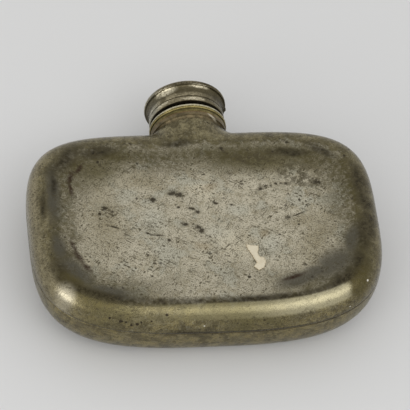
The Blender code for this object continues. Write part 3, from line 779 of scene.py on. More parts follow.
def pewter_front_finish():
    """The front: a pale matt face ringed with painted shade, olive rims, a painted highlight along its
    foot.
    """
    finish = new_finish("front_pewter")
    place, ragged, loose, inset, rise, wander, fray, soft_inset = sheet_fields(finish, 0.14, 5.0, 1.6)
    x, y = parts(place)[:2]
    height_up = parts(loose)[1]
    mottle = stepped(fray, 0.35, 0.65, 1.0, 0.7)
    rim, at_side, at_foot = rim_colours(place, ragged, loose, x, height_up)
    face = coats(
        PALE_PEWTER,
        (WARM_PEWTER, cloudy(place, 0.10, 0.46, 0.62), 0.75),
        (WARM_PEWTER, cloudy(ragged, 0.26, 0.50, 0.66), 0.5),
        (COOL_PEWTER, most(zoned(loose, COOL_ZONES, 1.1, 0.2), cloudy(loose, 0.10, 0.50, 0.62)), 0.65),
        (WARM_PEWTER, zoned(loose, HAZE_ZONES, 1.0, 0.1), 0.8),
        (WORN_PEWTER, zoned(loose, WORN_ZONES, 1.0, 0.2), 0.6),
    )
    colour = layered(rim, face, stepped(soft_inset + at_foot * FACE_FOOT_SHIFT, *FACE_SPAN))

    slate = zoned(loose, SLATE_ZONES, 1.0, 0.3)
    # Painted highlight on the lower left corner, where the left lamp also glints.
    highlight_spot = zoned(place, (HIGHLIGHT_SPOT,), 1.0, 0.3)
    # Painted highlight: a bright strip along the rounding of the foot, weaker at its left end, golden at
    # the left and pale at the right.
    highlight_band = stepped(inset, *BAND_INNER_SPAN) * stepped(inset, *BAND_OUTER_SPAN)
    highlight_band = highlight_band * stepped(y, *BAND_FOOT_SPAN) * stepped(x, *BAND_RIGHT_SPAN)
    highlight_band = highlight_band * stepped(x, *BAND_LEFT_SPAN, 0.15, 1.0)
    highlight_colour = layered(HIGHLIGHT_GOLD, HIGHLIGHT_PALE, stepped(x, *BAND_PALE_SPAN))
    marked = 1.0 - most(highlight_band, highlight_spot, slate * 0.4) * 0.6
    shine = cloudy(place, 1.9, 0.54, 0.64, 3.0) * stepped(soft_inset, 5.0, 10.0, 0.5, 1.0)
    # Painted shade: a dark ring over the rounding between face and rim, lifted towards the top, thinned in
    # the clear zones and mottled.
    ring_inset = soft_inset - stepped(height_up, *RING_LIFT_SPAN, 0.0, 5.5)
    at_top = stepped(height_up, *TOP_SPAN) * stepped(inset, *RING_TOP_SPAN)
    ring = stepped(ring_inset, *RING_INNER_SPAN) * stepped(soft_inset, *RING_OUTER_SPAN, 0.1, 1.0)
    ring = ring * stepped(at_top, 0.0, 1.0, 1.0, 0.65)
    ring = ring * zoned(loose, CLEAR_ZONES, 1.0, 0.2, 1.0, 0.1) * mottle
    corroded = zoned(loose, CORRODED_ZONES, 1.0, 0.3) * cloudy(ragged, 0.38, 0.46, 0.56)
    neck = stepped(height_up, *NECK_SPAN)
    # Painted shade: a dark line along the top of the foot's rounding, just above the painted highlight.
    crease_shade = stepped(inset - stepped(x, *CREASE_LEAN_SPAN, 4.0, 5.0), 0.0, 0.8)
    crease_shade = crease_shade * stepped(inset, *CREASE_INNER_SPAN) * stepped(y, *CREASE_FOOT_SPAN)
    edge_line = stepped(inset, *EDGE_LINE_SPAN) * at_side * stepped(x, *EDGE_LINE_LEFT_SPAN)
    edge_line = edge_line * stepped(height_up, *EDGE_LINE_RISE_SPAN, 0.5, 1.0)
    colour = coats(
        colour,
        (COOL_PEWTER, shine, 0.4),
        # Painted shade: the veil zones, the ring and the dark zones stand for shade and dark reflections on
        # the face's rounded border and the rims.
        (SHADE_VEIL_OLIVE, zoned(loose, SHADE_VEIL_ZONES, 1.0, 0.1), 0.86),
        (SHADE_RING_OLIVE, ring, 0.92),
        (SLATE, slate, 0.88),
        (DARK_OLIVE, zoned(loose, SHADE_ZONES, 1.0, 0.2) * mottle, 0.95),
        (BROWN_OLIVE, corroded, 0.7),
        (LIGHT_OLIVE, neck * cloudy(place, 0.45, 0.46, 0.58, 3.0), 0.65),
        (BROWN_OLIVE, neck * cloudy(ragged, 0.38, 0.52, 0.60), 0.7),
        # Painted shade at the lower corners.
        (DEEP_OLIVE, zoned(loose, DEEP_SHADE_ZONES, 1.0, 0.4) * mottle, 0.9),
        (WARM_PEWTER, edge_line * mottle, 0.85),
        # Painted shade line along the top of the foot's rounding.
        (DARK_OLIVE, crease_shade * mottle, 0.85),
        # Painted highlights: along the foot's rounding and on the lower left corner.
        (highlight_colour, highlight_band, 0.8),
        (PALE_PEWTER, highlight_spot, 0.5),
    )

    grain = grained(place, fray) * marked
    dashes = most(*[placed(PINHOLES, stretched(turned(ragged, turn), 0.45, 1.0, 1.0),
                           Scale=1.3, Radius=0.58, Share=0.34) for turn in (0.5, -0.9)])
    flecks = dashes * stepped(wander, 0.36, 0.58, 0.35, 1.0) * marked
    cuts = stepped(blots(warped(place, 0.5, 0.7), SCRATCHES), 1.0, 0.3)
    scratches = most(scratched(place, 0.6, 2.5), cuts) * marked
    knock_reach = blots(ragged, DARK_BLOTS) + stepped(fray, 0.3, 0.7, -0.4, 0.4)
    dark = most(stepped(knock_reach, 1.3, 0.6), pitted(ragged, wander, 0.55, 0.42) * marked)
    seam_line = stepped(rise, *SEAM_LINE_SPAN) * stepped(x, *SEAM_LINE_LEFT_SPAN, 0.4, 1.0)
    colour = coats(
        colour,
        (BROWN_OLIVE, grain, 0.7),
        (BROWN_OLIVE, flecks, 0.85),
        (BROWN_OLIVE, scratches, 0.8),
        (AMBER, stepped(blots(ragged, AMBER_BLOTS), 1.0, 0.0), 0.5),
        (BROWN_OLIVE, stepped(knock_reach, 2.4, 0.8), 0.4),
        (DARK_PIT, dark, 0.85),
        (RUST, stepped(blots(ragged, RUST_BLOTS), 1.4, 0.4) * mottle, 0.95),
        (DARK_PIT, seam_line * stepped(x, *SEAM_LINE_RIGHT_SPAN, 1.0, 0.15), 0.75),
    )
    for speck_colour, vector, specks in ((PALE_SPECK, place, PALE_SPECKS),
                                         (DARK_PIT, ragged, RIM_PITS)):
        for *spot_place, size in specks:
            reach = placed(BLOT, vector, Place=spot_place, Size=(size, size, size))
            colour = layered(colour, speck_colour, stepped(reach, 1.0, 0.6))
    gloss = stepped(soft_inset, 5.0, 10.0, 0.24, 0.52) + most(dark, grain) * 0.12
    height = fray * 0.8 - dark - scratches * 0.5 - (grain + flecks) * 0.35
    return coated(finish, colour, 0.9, gloss, height, SHEET_RELIEF)


def pewter_back_finish():
    """The back: rubbed along the belly that it rests on, with duller olive rims."""
    finish = new_finish("back_pewter")
    place, ragged, loose, inset, rise, wander, fray, soft_inset = sheet_fields(finish, 0.12, 4.0, 2.5)
    x, y = parts(place)[:2]
    face = coats(PALE_PEWTER, (WARM_PEWTER, cloudy(place, 0.08, 0.42, 0.64), 0.9),
                 (COOL_PEWTER, cloudy(ragged, 0.12, 0.50, 0.64), 0.6))
    rim = rim_colours(place, ragged, loose, x, y)[0]
    grain = grained(place, fray)
    grime = cloudy(ragged, 0.5, 0.54, 0.66)
    pits = pitted(ragged, wander, 0.7, 0.4)
    scratches = scratched(place, 0.1, 1.3)
    seam_line = stepped(rise, *BACK_SEAM_LINE_SPAN) * stepped(x, *SEAM_LINE_LEFT_SPAN, 0.4, 1.0)
    colour = coats(
        layered(rim, face, stepped(soft_inset, *BACK_FACE_SPAN)),
        (BROWN_OLIVE, stepped(soft_inset, 22.0, 9.0) * stepped(soft_inset, 5.0, 9.0), 0.8),
        (BROWN_OLIVE, most(grain, grime), 0.6),
        (BROWN_OLIVE, scratches, 0.7),
        (DARK_PIT, pits, 0.85),
        (DARK_PIT, seam_line, 0.75),
    )
    gloss = stepped(soft_inset, 5.0, 12.0, 0.30, 0.46) + most(pits, grime) * 0.15
    height = fray * 0.8 - pits - (grain + scratches) * 0.4
    return coated(finish, colour, 0.9, gloss, height, SHEET_RELIEF)


front_half = pressed_half("front_half", FRONT, pewter_front_finish())
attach(front_half, "flask")
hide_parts("front_shell")
back_half = pressed_half("back_half", BACK, pewter_back_finish())
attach(back_half, "flask")
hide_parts("back_shell")

# Solder. One bead runs along the inside of the seam and holds the halves together. A ring of it
# joins the neck's end to the collar, where it is tarnished red-brown.
SEAM_BEAD_INSET = 0.0020
SEAM_BEAD_RADIUS = 0.0005
SEAM_BEAD_SIDES = 8
SEAM_BEAD_STEPS = 300
SEAM_BEAD_LUMP_SHARE = 0.12
SEAM_BEAD_MOST_SHARE = 1.08
SEAM_BEAD_LUMPS = 400
SOLDER_RELIEF = 0.0002
GREY_SOLDER = (0.26, 0.25, 0.22)
DARK_SOLDER = (0.12, 0.11, 0.09)
RUST_BROWN = (0.24, 0.13, 0.055)
TAN_SOLDER = (0.19, 0.15, 0.082)
# A painted highlight streak on the joint ring: x, y, half length and half width in mm, turn in degrees
SOLDER_HIGHLIGHT = (7.6, 45.9, 2.4, 0.6, -25)
ring_low, ring_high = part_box("collar_solder")


def solder_finish(name, colour, dark, red_from=None):
    """Dull lumpy solder, with a painted highlight; red-brown above a height in mm over the body's middle,
    if given.
    """
    finish = new_finish(name)
    place = body_place(finish)
    cloud = cloudy(place, 0.4, 0.38, 0.66)
    colour = coats(colour, (dark, cloud, 0.75))
    if red_from is not None:
        colour = coats(colour, (RUST_BROWN, stepped(parts(place)[1], red_from, red_from + 0.4), 0.8))
    colour = coats(colour, (DARK_PIT, cloudy(place, 1.8, 0.52, 0.64, 3.0), 0.45),
                   # Painted highlight streak on the joint.
                   (PALE_PEWTER, zoned(place, (SOLDER_HIGHLIGHT,), 1.0, 0.4), 0.8))
    return coated(finish, colour, 0.85, cloud * 0.2 + 0.36, noisy(place, 1.4, 3.0), SOLDER_RELIEF)


def seam_bead(name, finish):
    """The bead of solder inside the seam: a small circle carried round the outline."""
    bead = bmesh.new()
    side_of = bead.verts.layers.int.new("side")
    verts = bmesh.ops.create_circle(bead, segments=SEAM_BEAD_SIDES, radius=SEAM_BEAD_RADIUS)["verts"]
    around = [math.tau * i / SEAM_BEAD_SIDES for i in range(SEAM_BEAD_SIDES)]
    bmesh.ops.contextual_create(bead, geom=bead.edges[:])
    edges = bead.edges[:]
    for i, vert in enumerate(verts):
        vert[side_of] = i
    for step in range(SEAM_BEAD_STEPS + 1):
        point, normal = seam_place(SEAM_START + SEAM_SWEEP * step / SEAM_BEAD_STEPS)
        middle = point - normal * SEAM_BEAD_INSET
        lump = noise.noise(Vector((middle.x, middle.y, 0)) * SEAM_BEAD_LUMPS)
        swell = 1 + SEAM_BEAD_LUMP_SHARE * lump
        reach = SEAM_BEAD_RADIUS * min(swell, SEAM_BEAD_MOST_SHARE)
        for vert in verts:
            turn = around[vert[side_of]]
            place = middle + normal * reach * math.cos(turn)
            vert.co = (place.x, place.y + BODY_Y,
                       SEAM_Z + float(hip_curve(place.x)) + reach * math.sin(turn))
        if step < SEAM_BEAD_STEPS:
            edges, verts = new_edges(bmesh.ops.extrude_edge_only(bead, edges=edges))
    bmesh.ops.contextual_create(bead, geom=edges)
    bmesh.ops.recalc_face_normals(bead, faces=bead.faces)
    return mesh_object(name, bead, finish)


def turned_piece(name, profile, steps, finish, closed, shape=None):
    """A piece spun round the neck's axis from a profile of (radius, height) points.

    shape, where it is given, moves each point by its radius, height and turn."""
    blank = bmesh.new()
    verts = [blank.verts.new((radius, height, SEAM_Z)) for radius, height in profile]
    pairs = list(zip(verts, verts[1:])) + ([(verts[-1], verts[0])] if closed else [])
    edges = [blank.edges.new(pair) for pair in pairs]
    bmesh.ops.spin(blank, geom=verts + edges, cent=(0, 0, SEAM_Z), axis=(0, 1, 0), angle=math.tau,
                   steps=steps, use_merge=True)
    bmesh.ops.remove_doubles(blank, verts=blank.verts, dist=PROBE / 10)
    if shape:
        for vert in blank.verts:
            x, height, z = vert.co
            radius = math.hypot(x, z - SEAM_Z)
            turn = math.atan2(SEAM_Z - z, x)
            moved, height = shape(radius, height, turn)
            if radius > PROBE:
                vert.co = (x * moved / radius, height, SEAM_Z + (z - SEAM_Z) * moved / radius)
    bmesh.ops.recalc_face_normals(blank, faces=blank.faces)
    return mesh_object(name, blank, finish)


def bow(radius, height, bulge, first, last, steps):
    """Points of an arc about (radius, height), from one angle in degrees to another."""
    turns = [math.radians(first + (last - first) * i / steps) for i in range(steps + 1)]
    return [(radius + bulge * math.cos(turn), height + bulge * math.sin(turn)) for turn in turns]


def run(first, last, steps):
    """Points evenly along a straight stretch of a profile, without its last one."""
    return [tuple(a + (b - a) * i / steps for a, b in zip(first, last)) for i in range(steps)]


dull_solder = solder_finish("dull_solder", GREY_SOLDER, DARK_SOLDER)
bead_piece = seam_bead("seam_bead", dull_solder)
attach(bead_piece, "flask")
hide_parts("seam_solder")
RING_FILLET = 0.0011
RING_LAP = 0.0009
RING_WALL = 0.00012
RUST_BELOW_EDGE_MM = 0.5
RING_TURN_STEPS = 128
COLLAR_RADIUS = 0.0141
COLLAR_WAIST_DEPTH = 0.0004
CLEARANCE = 0.0003
COLLAR_Y = ring_high.y + CLEARANCE
ring_inner = NECK_RADIUS - SHEET
ring_bore = COLLAR_RADIUS - COLLAR_WAIST_DEPTH + RING_WALL / 4
ring_edge = COLLAR_Y + RING_LAP
ring_profile = [(ring_inner, ring_low.y), (ring_inner, ring_high.y), (ring_bore, ring_high.y)]
ring_profile += [(ring_bore, ring_edge), (ring_bore + RING_WALL, ring_edge - RING_WALL)]
ring_profile += bow(NECK_RADIUS + RING_FILLET, ring_low.y - RING_FILLET, RING_FILLET, 100, 180, 8)
ring_profile += [(NECK_RADIUS, ring_low.y)]
red_from = (ring_edge - BODY_Y) * MM - RUST_BELOW_EDGE_MM
red_solder = solder_finish("red_solder", TAN_SOLDER, BROWN_OLIVE, red_from)
joint_ring = turned_piece("joint_ring", ring_profile, RING_TURN_STEPS, red_solder, True)
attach(joint_ring, "flask")
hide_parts("collar_solder")

# The screw collar, turned from brass. It has two beads with a waist between them, a lip inside
# the neck, and a spigot with a right-hand thread that the cap screws on.
COLLAR_HEIGHT = 0.0042
COLLAR_UPPER_BEAD = 0.00048
COLLAR_LOWER_BEAD = 0.00034
COLLAR_BEAD_GAP = 0.00012
COLLAR_UNDERCUT_SHARE = 1.2
COLLAR_LIP_WALL = 0.0012
SPIGOT_RADIUS = 0.0101
SPIGOT_WALL = 0.0012
THREAD_PITCH = 0.0020
THREAD_DEPTH = 0.0006
THREAD_ROOT_WIDTH = 0.0009
THREAD_CREST_WIDTH = 0.0004
THREAD_ROW = 0.00008
TURN_STEPS = 144
cap_low, cap_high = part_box("cap_shell")
bush_low, bush_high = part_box("cap_bush")
cork_low, cork_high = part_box("cork_seal")
COLLAR_TOP = COLLAR_Y + COLLAR_HEIGHT


def thread_rise(height, turn, first, last, shift):
    """How far a thread stands off its wall here. It fades in and out at its ends."""
    along = (height - first) / THREAD_PITCH - turn / math.tau + shift
    off_middle = abs(along % 1 - 0.5) * THREAD_PITCH
    flank = (THREAD_ROOT_WIDTH - THREAD_CREST_WIDTH) / 2
    share = min(max((THREAD_ROOT_WIDTH / 2 - off_middle) / flank, 0), 1)
    ends = min(max(min(height - first, last - height) / (THREAD_PITCH / 4), 0), 1)
    return THREAD_DEPTH * share * ends


def collar_profile():
    """The collar's outline, from the spigot's mouth down its outside and back up the bore."""
    waist = COLLAR_RADIUS - COLLAR_WAIST_DEPTH
    lip = NECK_RADIUS - SHEET - CLEARANCE
    bore = SPIGOT_RADIUS - SPIGOT_WALL
    mouth = collar_high.y
    edge = SPIGOT_WALL / 4
    rows = int((mouth - edge - COLLAR_TOP) / THREAD_ROW)
    upper = COLLAR_TOP - COLLAR_UPPER_BEAD
    lower = upper - COLLAR_UPPER_BEAD - COLLAR_BEAD_GAP - COLLAR_LOWER_BEAD
    points = bow(SPIGOT_RADIUS - edge, mouth - edge, edge, 90, 0, 4)[:-1]
    points += run((SPIGOT_RADIUS, mouth - edge), (SPIGOT_RADIUS, COLLAR_TOP), rows)
    points += [(SPIGOT_RADIUS, COLLAR_TOP)]
    points += bow(COLLAR_RADIUS - COLLAR_UPPER_BEAD, upper, COLLAR_UPPER_BEAD, 90, -70, 10)
    points += bow(COLLAR_RADIUS - COLLAR_LOWER_BEAD, lower, COLLAR_LOWER_BEAD, 70, -70, 8)
    points += [(waist, lower - COLLAR_LOWER_BEAD * COLLAR_UNDERCUT_SHARE)]
    points += [(waist, COLLAR_Y + COLLAR_BEAD_GAP), (waist - COLLAR_BEAD_GAP, COLLAR_Y)]
    points += [(lip, COLLAR_Y), (lip, collar_low.y), (lip - COLLAR_LIP_WALL, collar_low.y)]
    points += [(lip - COLLAR_LIP_WALL, COLLAR_Y), (bore, upper)]
    points += bow(bore + edge, mouth - edge, edge, 180, 90, 4)
    return points


def with_spigot_thread(radius, height, turn):
    """The spigot's outer wall raised to its thread."""
    if abs(radius - SPIGOT_RADIUS) < PROBE and height > COLLAR_TOP:
        radius += thread_rise(height, turn, cap_low.y, collar_high.y - THREAD_ROOT_WIDTH, 0)
    return radius, height


BRASS = (0.40, 0.33, 0.13)
BRASS_TARNISH = (0.085, 0.070, 0.030)
BRASS_RUBBED = (0.56, 0.50, 0.32)
BRASS_RELIEF = 0.00003


def off_axis(x, z):
    """How far a place is from the neck's axis."""
    flat = fields(x.tree, "CombineXYZ", {"X": x, "Z": z})[0]
    return fields(x.tree, "VectorMath", {0: flat}, operation="LENGTH")["Value"]


def lathe_lines(place, scale):
    """Fine lines round the neck's axis."""
    return noisy(stretched(place, 0.02, 1.0, 0.02), scale, 2.0)


def brass_finish():
    """Old brass: brown-olive in its hollows, rubbed pale on its beads."""
    finish = new_finish("old_brass")
    place = body_place(finish)
    x, y, z = parts(place)
    radius = off_axis(x, z)
    height = y - (COLLAR_Y - BODY_Y) * MM
    blotchy = cloudy(place, 0.35, 0.38, 0.66, 6.0)
    specks = cloudy(place, 1.8, 0.50, 0.64, 3.0)
    proud = stepped(radius, (COLLAR_RADIUS - COLLAR_WAIST_DEPTH / 2) * MM, COLLAR_RADIUS * MM)
    top_bead = proud * stepped(height, 2.9, 3.2)
    hollow = stepped(radius, (COLLAR_RADIUS - COLLAR_WAIST_DEPTH / 4) * MM,
                     (COLLAR_RADIUS - COLLAR_WAIST_DEPTH) * MM) * stepped(height, 1.6, 2.2, 0.5, 1.0)
    colour = coats(
        BRASS,
        (BRASS_TARNISH, blotchy, 0.7),
        (BRASS_RUBBED, top_bead, 0.75),
        (COOL_PEWTER, top_bead, 0.5),
        (BRASS, proud - top_bead, 0.8),
        (BRASS_TARNISH, hollow, 0.9),
        (RUST, blotchy * stepped(height, 1.6, 0.9), 0.5),
        (BRASS_TARNISH, specks, 0.5),
    )
    height = lathe_lines(place, 6.0) - specks
    return coated(finish, colour, 1.0, blotchy * 0.2 + 0.25, height, BRASS_RELIEF)


old_brass = brass_finish()
collar = turned_piece("screw_collar", collar_profile(), TURN_STEPS, old_brass, True,
                      with_spigot_thread)
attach(collar, "flask")
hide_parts("neck_collar")

# The cap, spun from pewter: a bead at its foot, a groove, a plain band, and a flare out to a
# milled rim. Its top is slightly dished, and it is hollow for the bush.
CAP_FOOT_RADIUS = 0.0134
CAP_BEAD_RADIUS = 0.0138
CAP_BEAD_HEIGHT = 0.0028
CAP_GROOVE = 0.0003
CAP_BAND_RADIUS = 0.0135
CAP_BAND_HEIGHT = 0.0018
CAP_RIM_RADIUS = 0.0150
CAP_RIM_HEIGHT = 0.0014
CAP_RIM_ROUND = 0.0004
CAP_CROWN = 0.0011
CAP_FOOT_LIFT = 0.0006
CAP_DISH = 0.0003
CAP_DISH_RADIUS = 0.0118
BUSH_WALL = 0.0007
MILLING_TEETH = 160
TOOTH_STEPS = 4
MILLING_DEPTH = 0.00022
BURR_TURN = 0.07
BURR_SPREAD = 0.035
BURR_RISE = 0.00045
RIM_WEAR = 0.00008
RIM_WEAR_FINENESS = 5
FLARE_STEPS = 12
BEAD_STEPS = 14
DARK_EDGE_MM = 0.2
CAP_RELIEF = 0.00004
# Painted highlights: bright patches where the lamps would glint on the cap, with place and half
# sizes in mm, along each axis
CAP_HIGHLIGHTS = (
    (-8.6, 58.3, 11.2, 6.6, 1.9, 4.6), (4.2, 58.8, 13.2, 5, 0.8, 3.6),
    (1.6, 53, 13.4, 6, 0.75, 3.6), (-9.2, 53.6, 9.8, 3.6, 1.1, 4),
)
CAP_HIGHLIGHT_COLOUR = (0.78, 0.71, 0.52)
CAP_Y = cap_low.y
CAP_TOP = cap_high.y
BUSH_BORE = SPIGOT_RADIUS + THREAD_DEPTH + CLEARANCE
BUSH_RADIUS = BUSH_BORE + BUSH_WALL
CAP_BORE = BUSH_RADIUS + CLEARANCE


def cap_profile():
    """The cap's outline, from the middle of its top down its outside and up its bore."""
    rim_low = CAP_TOP - CAP_RIM_HEIGHT
    band_low = CAP_Y + CAP_BEAD_HEIGHT + CAP_GROOVE
    band_high = band_low + CAP_BAND_HEIGHT
    reach = CAP_RIM_RADIUS - CAP_RIM_ROUND - CAP_BAND_RADIUS
    bulge = CAP_BEAD_RADIUS - CAP_FOOT_RADIUS
    quarters = [math.pi / 2 * step / FLARE_STEPS for step in range(FLARE_STEPS + 1)]
    halves = [math.pi * step / BEAD_STEPS for step in range(BEAD_STEPS + 1)]
    points = [(0, CAP_TOP - CAP_DISH), (CAP_DISH_RADIUS - CAP_DISH, CAP_TOP - CAP_DISH),
              (CAP_DISH_RADIUS, CAP_TOP)]
    points += bow(CAP_RIM_RADIUS - CAP_RIM_ROUND, CAP_TOP - CAP_RIM_ROUND, CAP_RIM_ROUND, 90, 0, 5)
    points += run((CAP_RIM_RADIUS, CAP_TOP - CAP_RIM_ROUND), (CAP_RIM_RADIUS, rim_low), 3)[1:]
    flare_high = rim_low - CAP_RIM_ROUND / 4
    points += [(CAP_RIM_RADIUS, rim_low), (CAP_RIM_RADIUS - CAP_RIM_ROUND / 2, flare_high)]
    points += [(CAP_BAND_RADIUS + reach * (1 - math.sin(turn)),
                band_high + (flare_high - band_high) * math.cos(turn)) for turn in quarters]
    points += [(CAP_BAND_RADIUS, band_low + CAP_GROOVE / 2)]
    points += [(CAP_BAND_RADIUS - CAP_GROOVE / 2, band_low)]
    points += [(CAP_BAND_RADIUS - CAP_GROOVE, height) for height in (band_low, band_low - CAP_GROOVE)]
    foot = CAP_Y + CAP_FOOT_LIFT
    half_bead = (CAP_BEAD_HEIGHT - CAP_FOOT_LIFT) / 2
    points += [(CAP_FOOT_RADIUS + bulge * math.sin(turn), foot + half_bead * (1 + math.cos(turn)))
               for turn in halves]
    points += [(CAP_BORE, foot), (CAP_BORE, CAP_TOP - CAP_CROWN), (0, CAP_TOP - CAP_CROWN)]
    return points


def with_milling(radius, height, turn):
    """The rim cut into fine upright teeth, worn unevenly, with one burr pushed out of it."""
    if radius > CAP_RIM_RADIUS - CAP_RIM_ROUND / 3 and height > CAP_TOP - CAP_RIM_HEIGHT - PROBE:
        radius -= MILLING_DEPTH * (0.5 + 0.5 * math.cos(turn * MILLING_TEETH))
        wear = noise.noise(Vector((math.cos(turn), math.sin(turn), 0)) * RIM_WEAR_FINENESS)
        radius -= RIM_WEAR * (1 + wear) / 2
        radius += BURR_RISE * math.exp(-((turn - BURR_TURN) / BURR_SPREAD) ** 2)
    return radius, height


def cap_finish():
    """Handled pewter, blotched olive-brown, painted lighter left, shaded right and in the flare, with lathe
    lines.
    """
    finish = new_finish("cap_pewter")
    place = body_place(finish)
    x, y, z = parts(place)
    above_foot = y - (CAP_Y - BODY_Y) * MM
    blotchy = cloudy(place, 0.28, 0.40, 0.66, 6.0)
    specks = cloudy(place, 1.6, 0.48, 0.62, 4.0)
    fray = cloudy(place, 1.1, 0.36, 0.56)
    # Painted highlights in patches, broken up by a cloud.
    highlight_reach = least(*[placed(BLOT, place, Place=row[:3], Size=row[3:]) for row in CAP_HIGHLIGHTS])
    painted_highlights = stepped(highlight_reach, 1.0, 0.4) * stepped(fray, 0.0, 1.0, 0.35, 1.0)
    # Painted shade in the hollow of the flare.
    flare = stepped(above_foot, 4.2, 5.2) * stepped(above_foot, 8.0, 7.4)
    groove_low = CAP_BEAD_HEIGHT * MM
    groove_high = groove_low + CAP_GROOVE * MM
    groove = stepped(above_foot, groove_low - DARK_EDGE_MM, groove_low)
    groove = groove * stepped(above_foot, groove_high + DARK_EDGE_MM, groove_high)
    tooth = reckoned("COSINE", reckoned("ARCTAN2", 0.0 - z, x) * MILLING_TEETH)
    valleys = stepped(tooth, -0.3, 0.7) * stepped(above_foot, 7.4, 7.6)
    valleys = valleys * stepped(off_axis(x, z), (CAP_RIM_RADIUS - CAP_RIM_ROUND) * MM,
                                (CAP_RIM_RADIUS - CAP_RIM_ROUND / 2) * MM)
    # Dark in the groove, in the milling's valleys and along the foot: dirt and painted shade.
    dirt_and_shade = most(groove, valleys, stepped(above_foot, 0.9, 0.6))
    colour = coats(
        WARM_PEWTER,
        (BROWN_OLIVE, blotchy, 0.75),
        # Painted light: lighter on the left side, painted shade in the flare and on the right side.
        (COOL_PEWTER, stepped(x, -9.5, -13.0), 0.5),
        (BROWN_OLIVE, flare, 0.8),
        (BROWN_OLIVE, stepped(x, 2.0, 9.0), 0.6),
        # Painted highlights.
        (CAP_HIGHLIGHT_COLOUR, painted_highlights, 0.9),
        # Dirt and painted shade in the groove, the milling and along the foot.
        (DARK_PIT, dirt_and_shade, 0.8),
        (BROWN_OLIVE, specks, 0.6),
    )
    gloss = most(blotchy, dirt_and_shade) * 0.22 + 0.23
    return coated(finish, colour, 0.95, gloss, lathe_lines(place, 5.0) - specks * 0.6, CAP_RELIEF)


cap = turned_piece("cap", cap_profile(), MILLING_TEETH * TOOTH_STEPS, cap_finish(), False,
                   with_milling)
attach(cap, "cap")
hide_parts("cap_shell")

# The brass bush soldered inside the cap. Its thread is half a turn from the spigot's, so that
# the two run past each other.
BUSH_THREAD_SHIFT = 0.5


def with_bush_thread(radius, height, turn):
    """The bush's bore drawn in to its thread."""
    if abs(radius - BUSH_BORE) < PROBE and bush_foot + PROBE < height < bush_high.y - PROBE:
        radius -= thread_rise(height, turn, cap_low.y, bush_high.y, BUSH_THREAD_SHIFT)
    return radius, height


bush_foot = bush_low.y + CAP_FOOT_LIFT
bush_rows = int((bush_high.y - bush_foot) / THREAD_ROW)
bush_profile = run((BUSH_BORE, bush_foot), (BUSH_BORE, bush_high.y), bush_rows)
bush_profile += [(BUSH_BORE, bush_high.y), (BUSH_RADIUS, bush_high.y), (BUSH_RADIUS, bush_foot)]
bush = turned_piece("threaded_bush", bush_profile, TURN_STEPS, old_brass, True, with_bush_thread)
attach(bush, "cap")
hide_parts("cap_bush")

# The cork disc that seals the spigot's mouth: pressed cork, dark with age, its edges worn round.
CORK_ROUND = 0.0003
CORK_STEPS = 96
CORK = (0.30, 0.17, 0.085)
CORK_LIGHT = (0.42, 0.27, 0.15)
CORK_DARK = (0.09, 0.05, 0.03)
CORK_RELIEF = 0.0001
cork_radius = cork_high.x
cork_profile = [(0, cork_high.y)]
cork_profile += bow(cork_radius - CORK_ROUND, cork_high.y - CORK_ROUND, CORK_ROUND, 90, 0, 4)
cork_profile += bow(cork_radius - CORK_ROUND, cork_low.y + CORK_ROUND, CORK_ROUND, 0, -90, 4)
cork_profile += [(0, cork_low.y)]


def cork_finish():
    """Granules of cork with dark gaps between them."""
    finish = new_finish("pressed_cork")
    place = body_place(finish)
    grains = fields(place.tree, "TexVoronoi", {"Vector": warped(place, 0.8, 0.5), "Scale": 0.8})
    tone = fields(place.tree, "SeparateColor", {"Color": grains["Color"]})["Red"]
    gaps = stepped(grains["Distance"], 0.45, 0.75)
    colour = coats(layered(CORK, CORK_LIGHT, tone), (CORK_DARK, gaps, 0.8))
    return coated(finish, colour, 0.0, gaps * 0.1 + 0.82, tone - gaps, CORK_RELIEF)


cork = turned_piece("cork_disc", cork_profile, CORK_STEPS, cork_finish(), False)
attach(cork, "seal")
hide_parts("cork_seal")

# The scrap of an old paper label, still glued to the front. It is torn all round, and follows
# the face with its edges a little curled.
PAPER_SHARES = (
    (-0.26, 0.50), (0.10, 0.43), (0.11, 0.31), (0.05, 0.17), (0.09, 0.03), (0.23, -0.04),
    (0.27, -0.19), (0.19, -0.40), (0.02, -0.50), (-0.13, -0.35), (-0.02, -0.21),
    (-0.09, -0.04), (-0.17, 0.19), (-0.24, 0.33),
)
PAPER_LENGTH = 0.0117
PAPER_X = 0.0163
PAPER_Y = -0.0190
PAPER_THICKNESS = 0.00016
PAPER_STANDOFF = 0.00006
PAPER_TEAR = 0.00022
PAPER_CURL = 0.00022
PAPER_CURL_FINENESS = 300
PAPER_TEAR_CUTS = 7
PAPER_TEAR_FINENESS = 2200
PAPER_TEAR_SHIFT = Vector((9, 9, 9))
PAPER_SPLITS = 2
PAPER_RELIEF = 0.00008
PAPER = (0.68, 0.61, 0.455)
PAPER_STAIN = (0.50, 0.40, 0.24)


def paper_finish():
    """Yellowed paper with faint fibres and a dirty torn edge."""
    finish = new_finish("yellowed_paper")
    place = body_place(finish)
    edge = fields(place.tree, "Attribute", {}, attribute_name="torn_edge")["Fac"]
    cloud = cloudy(place, 0.35, 0.45, 0.7)
    fibres = noisy(place, 5.0, 4.0)
    colour = coats(PAPER, (PAPER_STAIN, cloud, 0.3), (PAPER_STAIN, stepped(edge, 0.3, 1.0), 0.7))
    return coated(finish, colour, 0.0, fibres * 0.1 + 0.82, fibres + cloud, PAPER_RELIEF)


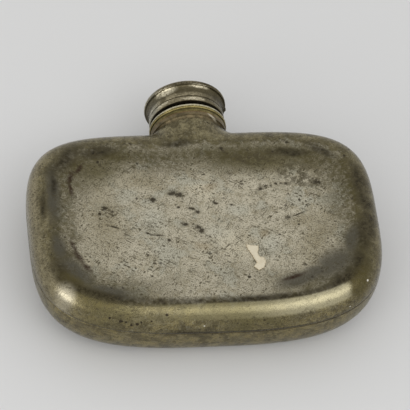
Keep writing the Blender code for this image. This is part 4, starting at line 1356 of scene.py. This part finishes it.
def front_height(x, y):
    """The height of the flask's front surface over the table."""
    point = np.array([[x, y - BODY_Y, FRONT.depth]])
    return SEAM_Z + float(settled(point, np.array([[0, 0, 1]]), FRONT)[0, 2]) + float(hip_curve(x))


def paper_scrap(name, finish):
    """The scrap: its outline torn finer, filled, laid on the face and given its thickness."""
    scrap = bmesh.new()
    verts = [scrap.verts.new((PAPER_X + x * PAPER_LENGTH, BODY_Y + PAPER_Y + y * PAPER_LENGTH, 0))
             for x, y in PAPER_SHARES]
    scrap.faces.new(verts)
    bmesh.ops.subdivide_edges(scrap, edges=scrap.edges, cuts=PAPER_TEAR_CUTS)
    for vert in scrap.verts:
        fine = vert.co * PAPER_TEAR_FINENESS
        vert.co += Vector((noise.noise(fine), noise.noise(fine + PAPER_TEAR_SHIFT), 0)) * PAPER_TEAR
    bmesh.ops.triangulate(scrap, faces=scrap.faces[:])
    for _ in range(PAPER_SPLITS):
        inner = [edge for edge in scrap.edges if not edge.is_boundary]
        bmesh.ops.subdivide_edges(scrap, edges=inner, cuts=1)
        bmesh.ops.triangulate(scrap, faces=scrap.faces[:])
        bmesh.ops.smooth_vert(scrap, verts=[vert for vert in scrap.verts if not vert.is_boundary],
                              factor=SMOOTH_FACTOR, use_axis_x=True, use_axis_y=True)
    torn = scrap.verts.layers.float.new("torn_edge")
    for vert in scrap.verts:
        on_edge = vert.is_boundary
        vert[torn] = float(on_edge)
        curl = PAPER_CURL * (1 + noise.noise(vert.co * PAPER_CURL_FINENESS)) / 2 if on_edge else 0
        vert.co.z = front_height(vert.co.x, vert.co.y) + PAPER_STANDOFF + curl
    bmesh.ops.recalc_face_normals(scrap, faces=scrap.faces)
    scrap.normal_update()
    if scrap.faces[:][0].normal.z < 0:
        bmesh.ops.reverse_faces(scrap, faces=scrap.faces)
    made = mesh_object(name, scrap, finish)
    sheet = made.modifiers.new("paper", "SOLIDIFY")
    sheet.thickness = PAPER_THICKNESS
    sheet.offset = 1
    return made


paper = paper_scrap("paper_scrap", paper_finish())
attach(paper, "flask")
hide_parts("paper_label")
